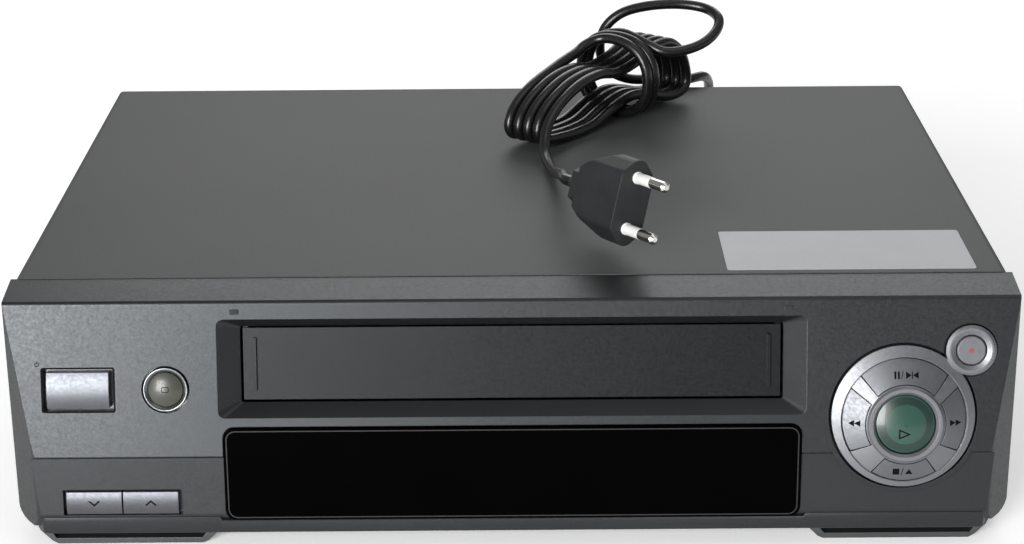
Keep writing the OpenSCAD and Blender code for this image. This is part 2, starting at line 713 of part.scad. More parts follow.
module channel_button(side) {
    stem_end = lower_y(channel_z) - front_y - 4 + switch_h + key_travel + 0.5;
    on_lower(channel_button_x(side), channel_z) {
        translate([0, 0, -4]) linear_extrude(4.3) square([channel_w, channel_h], center = true);
        intersection() {
            translate([-channel_w / 2, -channel_h / 2, 0]) cube([channel_w, channel_h, 2]);
            translate([0, 0, 0.9 - 18]) rotate([0, 90, 0])
                cylinder(r = 18, h = channel_w, center = true, $fn = 96);
        }
        translate([side * 1.4, 0.65, -5]) linear_extrude(1.4)
            square([channel_w + 2.4, channel_h + 3.1], center = true);
        translate([0, 0, stem_end]) cylinder(r = 1.8, h = -stem_end - 3);
    }
}
module channel_down_button() color("#b9bbbe") channel_button(-1);
module channel_up_button() color("#b9bbbe") channel_button(1);
module ring_button(i) {
    intersection() {
        on_tier(ring_at, -0.4 - EPS) linear_extrude(5)
            polygon(sector(ring_in_r, ring_r, ring_mid[i], ring_half[i]));
        ring_cone();
    }
    on_tier(ring_at, -4.4) linear_extrude(4.04)
        polygon(sector(ring_in_r + 0.1, ring_r - 0.1, ring_mid[i], ring_half[i] - 1));
    on_tier(ring_button_at(i)) stem();
}
module pause_button() color("#bdbfc2") ring_button(0);
module rewind_button() color("#bdbfc2") ring_button(1);
module forward_button() color("#bdbfc2") ring_button(2);
module stop_button() color("#bdbfc2") ring_button(3);
module play_button() color("#39705f") {
    on_tier(play_at) {
        translate([0, 0, -4]) cylinder(r = play_r, h = 5.9);
        intersection() {
            translate([0, 0, 1.8]) cylinder(r = play_r, h = 4);
            translate([0, 0, 3.6 - 34]) sphere(r = 34, $fn = 96);
        }
        stem();
        translate([0, 0, -6]) cylinder(r = play_r + 1.4, h = 1.2);
    }
}
module record_button() color("#a3a5a8") {
    on_tier(record_at) {
        translate([0, 0, -4]) cylinder(r = record_r, h = 4.8);
        translate([0, 0, 0.8 - EPS]) cylinder(r1 = record_r, r2 = record_r - 0.4, h = 0.4);
        stem();
        translate([0, 0, -6]) cylinder(r = record_r + 2, h = 1.2);
    }
}

// Cassette door, hung behind the slot's upper edge

module door() color("#85867f") {
    door_w = slot_w - 2 * door_gap;
    door_low = slot_low - door_gap;
    door_high = slot_high + door_gap;
    on_tier([0, (door_low + door_high) / 2], -recess_d - 0.2 - door_t)
        linear_extrude(door_t) square([door_w, door_low - door_high], center = true);
    for (side = [-1, 1]) on_tier([side * (door_w / 2 - 4.2), (door_low + door_high) / 2],
        -recess_d - 0.2 - EPS)
        linear_extrude(0.9) square([1.2, door_low - door_high - 7], center = true);
    both_sides() translate([door_w / 2 - 2, 0, 0]) rotate([90, 0, 90]) linear_extrude(2) union() {
        translate([front_y + door_pivot[0], door_pivot[1]]) circle(r = 2);
        polygon([
            [front_y + door_pivot[0] - 1.2, door_pivot[1] - 1.4],
            [front_y + door_pivot[0] + 2, door_pivot[1]],
            door_point(door_high + 3, recess_d + door_t / 2),
            door_point(door_high + 0.4, recess_d + 0.8)
        ]);
    }
    both_sides() translate([door_w / 2 - 1, front_y + door_pivot[0], door_pivot[1]]) rotate([0, 90, 0])
        cylinder(r = door_pin_r, h = 3.6);
}
function door_point(v, depth) =
    [front_y - v * sin(tilt) + depth * cos(tilt), edge_z - v * cos(tilt) - depth * sin(tilt)];

// Tape mechanism: chassis and cassette loader

module mech_chassis() color("#9a9da0") {
    difference() {
        union() {
            translate([-chassis_w / 2, front_y + chassis_y, chassis_z])
                cube([chassis_w, chassis_l, chassis_t]);
            for (side = [-1, 1]) at_mech([side * reel_pitch / 2, reel_y], deck_z - EPS)
                cylinder(r = stud_r, h = 16);
            at_mech(idler_pivot, deck_z - EPS) cylinder(r = stud_r, h = 8);
            at_mech(pinch_pivot, deck_z - EPS) cylinder(r = stud_r, h = 16);
            at_mech(cam_at, deck_z - EPS) cylinder(r = stud_r, h = 8);
        }
        at_mech(capstan_at, chassis_z - 1) cylinder(r = capstan_r + fit_r, h = 4);
        for (side = [-1, 1]) at_mech([side * guide_x - 2.5, guide_y - 4], chassis_z - 1)
            cube([5, guide_travel + 8, 4]);
        at_mech([-30, 40], chassis_z - 1) cube([60, 18, 4]);
        for (side = [-1, 1]) at_mech([side * 92 - 8, 70], chassis_z - 1) cube([16, 50, 4]);
    }
}
module loader_side(with_pinion) {
    difference() {
        at_mech([side_x, holder_y - 2], deck_z)
            cube([side_t, holder_l + load_in + 8, rack_z + rack_h + 2 - deck_z]);
        at_mech([side_x - 1, holder_y + 4], slider_pin_z() - 1.6)
            cube([side_t + 2, holder_l + load_in - 6, 3.2]);
        if (with_pinion) translate([side_x - 1, front_y + pinion_at[0], pinion_at[1]]) rotate([0, 90, 0])
            cylinder(r = stud_r + fit_r, h = side_t + 2);
    }
    at_mech([side_x, holder_y - 2], deck_z) cube([8, holder_l + load_in + 8, 1.2]);
}
function slider_pin_z() = rack_z - 2 * rack_pitch_r - 4.6;
module loader_side_left() color("#b1b4b6") mirror([1, 0, 0]) loader_side(false);
module loader_side_right() color("#b1b4b6") loader_side(true);
module rack_teeth_row(from, count) {
    pitch = PI * rack_m;
    for (i = [0:count - 1]) translate([from + i * pitch, 0]) polygon([
        [-pitch * 0.27, 1.2 * rack_m + 0.1], [-pitch * 0.1, -0.8 * rack_m],
        [pitch * 0.1, -0.8 * rack_m], [pitch * 0.27, 1.2 * rack_m + 0.1]
    ]);
}
module loader_slider() color("#c9ccce") {
    both_sides() difference() {
        at_mech([slider_x, holder_y], cassette_floor - 12)
            cube([slider_t, holder_l, rack_z + rack_h - cassette_floor + 12]);
        for (y = holder_pin_y()) at_mech([slider_x - 1, y - 1.6], holder_pin_z() - load_down - 1.7)
            cube([slider_t + 2, 3.2, load_down + 3.4]);
    }
    at_mech([-slider_x - slider_t, holder_y + 8], rack_z + rack_h - 1.2)
        cube([2 * (slider_x + slider_t), 30, 1.2]);
    both_sides() for (y = [6, holder_l - 6])
        translate([slider_x + slider_t - EPS, front_y + holder_y + y, slider_pin_z()]) rotate([0, 90, 0])
            cylinder(r = 1.4, h = 4.6);
    at_mech([slider_x + slider_t - EPS, holder_y - 11], rack_z + 1.1 * rack_m)
        cube([2.4, holder_l + 19, rack_h - 1.1 * rack_m]);
    translate([slider_x + slider_t - EPS, front_y, rack_z]) rotate([90, 0, 90]) linear_extrude(2.4)
        rack_teeth_row(pinion_at[0] - 18.5 * PI * rack_m, 20);
}
function holder_pin_y() = [holder_y + 14, holder_y + holder_l - 14];
function holder_pin_z() = cassette_floor + 6;
module cassette_holder() color("#aeb2b5") {
    half = holder_in_w / 2;
    top_z = cassette_floor + cassette_h + cassette_gap;
    at_mech([-half - holder_t, holder_y], cassette_floor - holder_t) difference() {
        cube([2 * half + 2 * holder_t, holder_l, top_z - cassette_floor + 2 * holder_t]);
        translate([holder_t, -1, holder_t]) cube([2 * half, holder_l + 2, top_z - cassette_floor]);
        translate([holder_t + 20, -1, -1]) cube([2 * half - 40, holder_l + 2, holder_t + 2]);
        for (x = [34, 2 * half - 68]) translate([x, 12, top_z - cassette_floor]) cube([36, 22, 4]);
    }
    both_sides() at_mech([half - 14, holder_y + holder_l - 1], cassette_floor - EPS) cube([14.5, 1, 7]);
    both_sides() for (y = holder_pin_y())
        translate([half + holder_t - EPS, front_y + y, holder_pin_z()]) rotate([0, 90, 0])
            cylinder(r = 1.5, h = 2.4);
}
module rack_pinion() color("#e8e4d8") {
    translate([pinion_x, front_y + pinion_at[0], pinion_at[1]]) rotate([90, 0, 90]) {
        rotate([0, 0, 90]) linear_extrude(1.6) polygon(gear_outline(rack_m, rack_teeth));
        cylinder(r = stud_r, h = 6.5);
    }
}

// Tape mechanism: reels, drum, capstan and guides

module reel() {
    difference() {
        union() {
            translate([0, 0, 1]) cylinder(r = reel_r, h = 2.4);
            translate([0, 0, 1]) cylinder(r = 9, h = 6);
            translate([0, 0, 6.9]) cylinder(r = 5, h = 8);
            for (a = [0, 120, 240]) rotate([0, 0, a]) translate([4, -0.8, 6.9]) cube([4, 1.6, 6]);
        }
        translate([0, 0, -1]) cylinder(r = stud_r + fit_r, h = 30);
        for (a = [0:60:300]) rotate([0, 0, a + 30]) translate([15.5, 0, -1]) cylinder(r = 3, h = 8);
    }
}
module supply_reel() color("#d9d9d4") at_mech([-reel_pitch / 2, reel_y], deck_z) reel();
module takeup_reel() color("#d9d9d4") at_mech([reel_pitch / 2, reel_y], deck_z) reel();
module idler_arm() color("#5a5d60") {
    arm = idler_pivot[1] - reel_y;
    at_mech(idler_pivot, deck_z + 1) difference() {
        union() {
            cylinder(r = 5, h = 5);
            translate([-4, -arm, 3.8]) cube([8, arm, 1.2]);
            translate([0, -arm, 3.8]) cylinder(r = 4, h = 1.2);
            translate([0, -arm, 0.4]) cylinder(r = stud_r, h = 3.5);
        }
        translate([0, 0, -1]) cylinder(r = stud_r + fit_r, h = 8);
    }
}
module idler_wheel() color("#2b2b2d") {
    at_mech([0, reel_y], deck_z + 1.5) difference() {
        cylinder(r = idler_r, h = 2);
        translate([0, 0, -1]) cylinder(r = stud_r + fit_r, h = 4);
        for (a = [0:60:300]) rotate([0, 0, a]) translate([idler_r - 6.5, 0, -1]) cylinder(r = 3, h = 4);
    }
}
module at_drum(z) {
    translate([drum_at[0], front_y + drum_at[1], deck_z + 4]) rotate([drum_lean, 0, 0])
        translate([0, 0, z]) children();
}
module drum_base() color("#c7c9ca") {
    at_drum(0) {
        cylinder(r = drum_r, h = 16, $fn = 72);
        cylinder(r = 4, h = 32);
    }
    at_mech([drum_at[0] - drum_r - 2, drum_at[1] - 30], deck_z) cube([2 * drum_r + 4, 60, 3]);
    intersection() {
        at_drum(-6) cylinder(r = drum_r - 2, h = 7, $fn = 72);
        at_mech([drum_at[0] - drum_r, drum_at[1] - 30], deck_z) cube([2 * drum_r, 60, 12]);
    }
}
module drum_rotor() color("#dfe1e2") {
    at_drum(16.4) difference() {
        union() {
            cylinder(r = drum_r, h = 14, $fn = 72);
            translate([0, 0, 13.9]) cylinder(r = 12, h = 4);
        }
        translate([0, 0, -1]) cylinder(r = 4 + fit_r, h = 16.8);
        for (a = [0, 180]) rotate([0, 0, a]) translate([drum_r - 1, -2, -1]) cube([4, 4, 3]);
        for (a = [45:90:315]) rotate([0, 0, a]) translate([20, 0, 10]) cylinder(r = 2, h = 6);
    }
}
module tape_heads() color("#b9bbbd") {
    at_mech([47.5, 163], deck_z) cube([8, 10, 24]);
    at_mech([-60, 160], deck_z) cube([8, 8, 22]);
    for (at = [[-54, 152], drum_at + [-34, 36], drum_at + [34, 36]]) at_mech(at, deck_z) {
        cylinder(r = 2, h = 26);
        translate([0, 0, 25]) cylinder(r = 3.2, h = 2);
        translate([0, 0, 4]) cylinder(r = 3.2, h = 2);
    }
}
module capstan() color("#d5d7d8") {
    at_mech(capstan_at, chassis_z - 12) {
        cylinder(r = flywheel_r, h = 7, $fn = 72);
        cylinder(r = capstan_r, h = 37);
    }
}
module capstan_motor() color("#6d4f34") {
    at_mech(capstan_at, chassis_z - 15) {
        difference() {
            union() {
                cylinder(r = flywheel_r + 5.6, h = 1.6, $fn = 72);
                for (a = [30:120:270]) rotate([0, 0, a]) translate([flywheel_r + 3, 0, 0])
                    cylinder(r = 2.2, h = 15);
            }
            translate([0, 0, -1]) cylinder(r = capstan_r + 1, h = 4);
        }
    }
}
module pinch_frame() {
    at_mech(pinch_pivot, deck_z) rotate([0, 0, pinch_rest]) children();
}
module pinch_arm() color("#75787b") {
    pinch_frame() difference() {
        union() {
            translate([0, 0, 0.6]) cylinder(r = 4.4, h = 14);
            translate([0, -3.5, 0.6]) cube([pinch_arm_l, 7, 1.6]);
            translate([pinch_arm_l, 0, 0.6]) cylinder(r = 3.5, h = 1.6);
            translate([pinch_arm_l, 0, 1]) cylinder(r = stud_r, h = 20);
        }
        translate([0, 0, -1]) cylinder(r = stud_r + fit_r, h = 17);
    }
}
module pinch_roller() color("#232324") {
    pinch_frame() translate([pinch_arm_l, 0, 3]) difference() {
        cylinder(r = pinch_r, h = 16);
        translate([0, 0, -1]) cylinder(r = stud_r + fit_r, h = 20);
    }
}
module tape_guide() {
    at_mech([guide_x, guide_y], deck_z) {
        translate([-5, -5, 0.4]) cube([10, 10, 3.6]);
        translate([-2.2, -3, -chassis_t]) cube([4.4, 6, chassis_t + 0.6]);
        translate([0, 1, 3.9]) cylinder(r = 1.6, h = 20);
        translate([0, 1, 5]) cylinder(r = 3, h = 17);
        translate([0, -3.2, 3.5]) rotate([-6, 0, 0]) cylinder(r = 1.2, h = 18);
    }
}
module guide_left() color("#cfcfc9") mirror([1, 0, 0]) tape_guide();
module guide_right() color("#cfcfc9") tape_guide();
module cam_gear() color("#e6e2d4") {
    at_mech(cam_at, deck_z + 0.8) difference() {
        union() {
            rotate([0, 0, 90]) linear_extrude(4) polygon(gear_outline(cam_m, cam_teeth));
            cylinder(r = 10, h = 6);
        }
        translate([0, 0, -1]) cylinder(r = stud_r + fit_r, h = 9);
        for (a = [0:60:300]) rotate([0, 0, a]) translate([16, 0, -1]) cylinder(r = 3.4, h = 6);
    }
}
module drive_pinion() color("#ddd8c8") {
    at_mech(drive_at, deck_z + 0.8) {
        rotate([0, 0, 180 / drive_teeth - 90]) linear_extrude(5) polygon(gear_outline(cam_m, drive_teeth));
        cylinder(r = 1, h = 12);
    }
}
module loading_motor() color("#a9acae") {
    at_mech(drive_at, deck_z) {
        difference() {
            translate([0, 0, 9]) cylinder(r = 11, h = 24);
            translate([0, 0, 8]) cylinder(r = 1 + fit_r, h = 8);
        }
        difference() {
            translate([-17, -5, 7.4]) cube([34, 14, 1.7]);
            translate([0, 0, 7]) cylinder(r = 2, h = 3);
        }
        for (x = [-17, 14]) translate([x, 2, 0]) cube([3, 7, 8]);
    }
}

// Mains cord: from the gland over the rear edge, round the hank's waist, through its loops to the plug

// The plug lies on the cover: X is its wide side, Y its thickness, Z the way its pins point
plug_at = [44, rear_y - 223.2, overall_h + 21];
plug_turn = [74.8, -71.8, 44.6];
plug_w = 35.3;
plug_thick = 14;
plug_l = 28;
grip_l = 6;
relief_l = 6;
sleeve_l = 10;
cord_in = plug_l + grip_l + relief_l;
function spun_x(v, a) = [v[0], v[1] * cos(a) - v[2] * sin(a), v[1] * sin(a) + v[2] * cos(a)];
function spun_y(v, a) = [v[0] * cos(a) + v[2] * sin(a), v[1], v[2] * cos(a) - v[0] * sin(a)];
function spun_z(v, a) = [v[0] * cos(a) - v[1] * sin(a), v[0] * sin(a) + v[1] * cos(a), v[2]];
function in_plug(v) = plug_at + spun_z(spun_y(spun_x(v, plug_turn[0]), plug_turn[1]), plug_turn[2]);

// The hank lies on the cover: U runs along it, W across it, and Z is the height above the cover
hank_at = [38, rear_y - 54, overall_h];
hank_turn = 52;
hank_left = 50;
hank_right = 53;
hank_mid_z = 9;
hank_loops = 4;
hank_step = cord_d + 0.6;
hank_first_w = 10;
waist_u = 13;
waist_half = 34;
waist_top_in = 7.5;
waist_low_in = 8;
ring_w = 18.6;
ring_z = 16.6;
ring_at_w = -0.8;
ring_at_z = 19.4;
ring_step = cord_d + 0.8;
ring_turns = 2;
ring_from_u = 18;
turn_off_u = ring_from_u - ring_step * ring_turns;
turn_off_r = 10;
turn_off_drop = 5;
turn_off_z = ring_at_z + ring_z - turn_off_drop;
function in_hank(u, w, z) =
    hank_at + [u * cos(hank_turn) - w * sin(hank_turn), u * sin(hank_turn) + w * cos(hank_turn), z];
function ease(t) = let(c = max(0, min(1, t))) c * c * (3 - 2 * c);
function waist(u) = abs(u - waist_u) < waist_half ? pow(cos(90 * (u - waist_u) / waist_half), 2) : 0;
function top_u(a) = (cos(a) < 0 ? hank_left : hank_right) * cos(a);
function top_z(a) = let(u = top_u(a), bend = cos(a) < 0 ? 2 : 2.7)
    hank_mid_z + (19 + 9 * ease((u + 10) / 40)) * sqrt(1 - pow(abs(cos(a)), bend)) - waist_top_in * waist(u);
function low_z(a) = hank_mid_z - 6.6 * pow(1 - pow(abs(cos(a)), 3.3), 0.3) + waist_low_in * waist(top_u(a));
function squared(v) = sign(v) * pow(abs(v), 0.88);
ring_route = [for (i = [0:24 * ring_turns]) let(a = 90 - 15 * i) in_hank(
    ring_from_u - ring_step * i / 24, ring_at_w + ring_w * squared(cos(a)), ring_at_z +
        ring_z * squared(sin(a))
)];
turn_off_route = [for (a = [22.5:22.5:90]) in_hank(
    turn_off_u - turn_off_r * (1 - cos(a)), ring_at_w + turn_off_r * sin(a), turn_off_z +
        turn_off_drop * cos(a)
)];
run_in_route = [for (t = [0.25:0.25:0.75]) in_hank(
    turn_off_u - turn_off_r + (top_u(125) - turn_off_u + turn_off_r) * t,
    ring_at_w + turn_off_r + (hank_first_w - ring_at_w - turn_off_r) * ease(2 * t),
    turn_off_z + (top_z(125) - turn_off_z) * t
)];
function left_end(k, from, to) = [for (a = [from:15:to]) in_hank(top_u(a), hank_first_w - hank_step * k,
    top_z(a))];
function loop_route(k) = concat(
    [for (a = [195:15:345]) in_hank(top_u(a), hank_first_w - hank_step * (k + ease((a - 180) / 180)),
        low_z(a))],
    left_end(k + 1, 0, k == hank_loops - 1 ? 150 : 180)
);
hank_route = concat(
    ring_route, turn_off_route, run_in_route, left_end(0, 125, 125), left_end(0, 135, 180),
    [for (k = [0:hank_loops - 1]) each loop_route(k)]
);

// The free stretches, as X, distance behind the cover's rear edge and height above the cover
lead_points = [
    [95, 18, -62], [95, 25, -58], [94.5, 29, -50], [94, 30, -40], [93.5, 29, -26], [92.5, 25, -12],
    [91.5, 18, -2.5], [88, 9, 2.6], [80, 2, 3.2], [66, -0.5, 4], [53, -4, 5.5], [44, -9.5, 11.5],
    [40, -15, 22], [42, -19, 33], [49, -19, 39.5], [60, -18, 42.5], [76, -17, 43], [87, -20, 41.5],
    [91.5, -27, 39], [90, -34.5, 35.5], [84, -41.5, 32], [75, -46.5, 30], [66, -48.2, 30], [58.5, -45.6, 33]
];
tail_points = [
    [15.6, -100, 13.5], [14, -105, 8.2], [14.2, -112, 4.2], [15.6, -122, 2.9], [17.4, -136, 4.6],
    [18.8, -150, 8.4], [19.6, -162, 12], [20, -173, 15.4]
];
function on_cover(points) = [for (p = points) [p[0], rear_y + p[1], overall_h + p[2]]];
lead_route = concat([[gland_x, rear_y + rear_reach, gland_z]], on_cover(lead_points));
tail_route = concat(on_cover(tail_points), [in_plug([0, 0, -cord_in - 6]), in_plug([0, 0, -cord_in])]);
cord_route = concat(lead_route, hank_route, tail_route);
cord_dirs = [for (i = [0:len(cord_route) - 1])
    i == 0 ? [0, 1, 0] : unit(cord_route[min(i + 1, len(cord_route) - 1)] - cord_route[i - 1])];
cord_sides = side_vectors([unit(cross(cord_dirs[0], [0, 0, 1]))], 1);
function side_vectors(done, i) =
    i == len(cord_dirs) ? done
    : let(last = done[i - 1], d = cord_dirs[i]) side_vectors(concat(done, [unit(last - (last * d) * d)]),
        i + 1);
hank_from = len(lead_route);
hank_to = hank_from + len(hank_route) - 1;

// Least gap between two stretches of cord that lie further apart along it than three diameters
function segment_gap(p, q, r, s) =
    let(
        d1 = q - p, d2 = s - r, w = p - r,
        a = d1 * d1, b = d1 * d2, c = d2 * d2, d = d1 * w, e = d2 * w,
        den = a * c - b * b,
        t0 = den < 1e-6 ? 0 : max(0, min(1, (b * e - c * d) / den)),
        u = max(0, min(1, (b * t0 + e) / c)),
        t = max(0, min(1, (b * u - d) / a))
    )
    norm(w + t * d1 - u * d2);
cord_run = running([0], 1);
function running(done, i) =
    i == len(cord_route) ? done
    : running(concat(done, [done[i - 1] + norm(cord_route[i] - cord_route[i - 1])]), i + 1);
function least_gap() = min([
    for (i = [0:len(cord_route) - 2]) for (j = [i + 3:1:len(cord_route) - 2])
        if (cord_run[j] - cord_run[i + 1] > 3 * cord_d)
            segment_gap(cord_route[i], cord_route[i + 1], cord_route[j], cord_route[j + 1])
]) - cord_d;
echo(least_gap = least_gap(), cord_length =  // cord_hank
    cord_run[len(cord_run) - 1]);

module cord(from, to, sides) {
    rings = [for (i = [from:to]) for (k = [0:sides - 1])
        let(a = 360 * k / sides)
        cord_route[i] + cord_d / 2 * (cos(a) * cord_sides[i] + sin(a) * cross(cord_dirs[i], cord_sides[i]))];
    last = (to - from) * sides;
    faces = concat(
        [for (i = [0:to - from - 1]) for (k = [0:sides - 1]) for (half = [0, 1])
            let(a = i * sides + k, b = i * sides + (k + 1) % sides)
            half == 0 ? [a, b + sides, b] : [a, a + sides, b + sides]],
        [[for (k = [0:sides - 1]) k]],
        [[for (k = [sides - 1:-1:0]) last + k]]
    );
    polyhedron(rings, faces);
}
module cord_lead() color("#111112") cord(0, hank_from, 8);
module cord_hank() color("#111112") cord(hank_from, hank_to, 6);
module cord_tail() color("#111112") cord(hank_to, len(cord_route) - 1, 8);
module at_plug() {
    translate(plug_at) rotate(plug_turn) children();
}
function plug_side() = rounded([
    [-plug_w / 2, 0], [-plug_w / 2, -8], [-11, -plug_l + 6], [-7.5, -plug_l],
    [7.5, -plug_l], [11, -plug_l + 6], [plug_w / 2, -8], [plug_w / 2, 0]
], [0, 8, 5, 0, 0, 5, 8, 0]);
function plug_face() = rounded([
    [-plug_w / 2, 0], [-plug_w / 2 + 7, -plug_thick / 2], [plug_w / 2 - 7, -plug_thick / 2],
    [plug_w / 2, 0], [plug_w / 2 - 7, plug_thick / 2], [-plug_w / 2 + 7, plug_thick / 2]
], [4, 3, 3, 4, 3, 3]);
module plug_body() color("#1b1b1c") {
    at_plug() difference() {
        union() {
            intersection() {
                translate([0, plug_thick, 0]) rotate([90, 0, 0]) linear_extrude(2 * plug_thick)
                    polygon(plug_side());
                translate([0, 0, -plug_l]) linear_extrude(plug_l) polygon(plug_face());
            }
            translate([0, 0, -plug_l - grip_l]) linear_extrude(grip_l + EPS)
                polygon([[-8.5, 0], [-5, -5.6], [5, -5.6], [8.5, 0], [5, 5.6], [-5, 5.6]]);
            translate([0, 0, -cord_in])
                cylinder(r1 = cord_d / 2 + 0.6, r2 = cord_d / 2 + 2, h = relief_l + EPS);
            for (side = [-1, 1]) translate([side * pin_pitch / 2, 0, -EPS])
                cylinder(r = pin_d / 2, h = sleeve_l + EPS);
        }
        for (side = [-1, 1]) translate([side * pin_pitch / 2, 0, -8])
            cylinder(r = pin_d / 2 - 0.45, h = sleeve_l + 9);
    }
}
module plug_pins() color("#cfcfcf") {
    for (side = [-1, 1]) at_plug() translate([side * pin_pitch / 2, 0, 0]) {
        translate([0, 0, -8]) cylinder(r = pin_d / 2 - 0.5, h = sleeve_l + 9);
        translate([0, 0, sleeve_l]) cylinder(r = pin_d / 2, h = pin_l - sleeve_l - 1);
        translate([0, 0, pin_l - 1 - EPS]) cylinder(r1 = pin_d / 2, r2 = pin_d / 2 - 1, h = 1);
    }
}

front_panel();
display_window();
control_bezel();
top_cover();
bottom_pan();
rear_panel();
foot_front_left();
foot_front_right();
rear_feet();
case_screws();
scart_sockets();
tuner();
audio_jacks();
cord_gland();
main_board();
board_parts();
front_board();
display_tube();
key_switches();
power_board();
power_transformer();
door();
mech_chassis();
loader_side_left();
loader_side_right();
loader_slider();
cassette_holder();
rack_pinion();
supply_reel();
takeup_reel();
idler_arm();
idler_wheel();
drum_base();
drum_rotor();
tape_heads();
capstan();
capstan_motor();
pinch_arm();
pinch_roller();
guide_left();
guide_right();
cam_gear();
drive_pinion();
loading_motor();
power_button();
one_touch_button();
channel_down_button();
channel_up_button();
pause_button();
rewind_button();
forward_button();
stop_button();
play_button();
record_button();
cord_lead();
cord_hank();
cord_tail();
plug_body();
plug_pins();
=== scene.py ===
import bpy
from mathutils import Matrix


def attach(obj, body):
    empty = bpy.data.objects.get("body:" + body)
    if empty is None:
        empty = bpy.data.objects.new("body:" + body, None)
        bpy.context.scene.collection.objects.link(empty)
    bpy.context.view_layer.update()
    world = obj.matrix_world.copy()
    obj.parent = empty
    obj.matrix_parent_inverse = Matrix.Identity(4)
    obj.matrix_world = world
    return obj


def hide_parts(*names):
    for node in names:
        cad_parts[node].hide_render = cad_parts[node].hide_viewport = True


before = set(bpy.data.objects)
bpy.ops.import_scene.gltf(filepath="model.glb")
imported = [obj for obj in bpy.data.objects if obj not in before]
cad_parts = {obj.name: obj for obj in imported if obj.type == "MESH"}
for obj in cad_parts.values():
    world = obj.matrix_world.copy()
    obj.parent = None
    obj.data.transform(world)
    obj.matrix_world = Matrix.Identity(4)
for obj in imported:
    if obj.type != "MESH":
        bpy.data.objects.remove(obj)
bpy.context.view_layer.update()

import logging
import math
from collections.abc import Callable, Iterable, Sequence
from dataclasses import dataclass, field
from enum import Enum

import bmesh
import bpy
from mathutils import Matrix, Vector
from mathutils.geometry import tessellate_polygon

log = logging.getLogger("deck")
MM = 0.001
CREASE = 35.0
Point = tuple[float, float, float]
Flat = tuple[float, float]
Rgb = tuple[int, int, int]


# The deck's own sizes


@dataclass(frozen=True)
class DeckSizes:
    """The deck's main sizes in millimetres, as its source names them."""

    overall_h: float = 94.0
    foot_h: float = 8.7
    front_y: float = -124.840
    rear_y: float = 133.160
    edge_z: float = 91.4
    tilt: float = 12.5
    tier_l: float = 55.9
    tier_step: float = 1.8
    step_slope: float = 1.2
    lower_round: float = 5.0
    lower_flare: float = 2.4
    cover_w: float = 357.4
    cord_d: float = 4.4

    @property
    def tier_z(self) -> float:
        """Height of the upper tier's lower edge."""
        return self.edge_z - self.tier_l * math.cos(math.radians(self.tilt))

    @property
    def lower_l(self) -> float:
        """Height of the lower tier's straight part."""
        return self.tier_z - self.step_slope - self.foot_h - self.lower_round

    def lower_y(self, z: float) -> float:
        """Place along the depth of the lower tier's face.

        Args:
            z: Height above the standing surface.

        Returns:
            The depth coordinate in millimetres.
        """
        step = self.tier_z - self.step_slope
        share = (step - z) / self.lower_l
        nose = self.tier_l * math.sin(math.radians(self.tilt))
        return self.front_y - nose + self.tier_step - self.lower_flare * share

    @property
    def flare(self) -> float:
        """Lean of the lower tier in radians."""
        return math.atan2(self.lower_flare, self.lower_l)


DECK = DeckSizes()


class Face(Enum):
    """The faces of the deck that small pieces are laid out on."""

    UPPER = "upper"
    LOWER = "lower"
    COVER = "cover"
    REAR = "rear"


def place(face: Face, x: float, v: float, out: float = 0.0) -> Matrix:
    """Gives the frame of a spot on one face, in metres.

    Args:
        face: The face that the spot is on.
        x: Place across the face in millimetres.
        v: Distance down the slope, behind the front edge, or height, as the face has it.
        out: Distance off the face in millimetres.

    Returns:
        A matrix whose X runs right, whose Y runs up the face and whose Z stands off it.
    """
    tilt = math.radians(DECK.tilt)
    if face is Face.UPPER:
        turn = Matrix.Rotation(math.pi / 2 - tilt, 4, "X")
        at = (x, DECK.front_y - v * math.sin(tilt), DECK.edge_z - v * math.cos(tilt))
    elif face is Face.LOWER:
        turn = Matrix.Rotation(math.pi / 2 - DECK.flare, 4, "X")
        at = (x, DECK.lower_y(v), v)
    elif face is Face.COVER:
        turn = Matrix.Identity(4)
        at = (x, DECK.front_y + v, DECK.overall_h)
    else:
        turn = Matrix.Rotation(math.pi, 4, "Z") @ Matrix.Rotation(math.pi / 2, 4, "X")
        at = (x, DECK.rear_y, v)
    return Matrix.Translation(Vector(at) * MM) @ turn @ Matrix.Translation((0, 0, out * MM))


# Finishes


def linear(colour: Rgb) -> tuple[float, float, float, float]:
    """Turns an 8-bit screen colour into the shader's own numbers."""
    parts = [c / 255 for c in colour]
    return (*[c / 12.92 if c <= 0.04045 else ((c + 0.055) / 1.055) ** 2.4 for c in parts], 1.0)


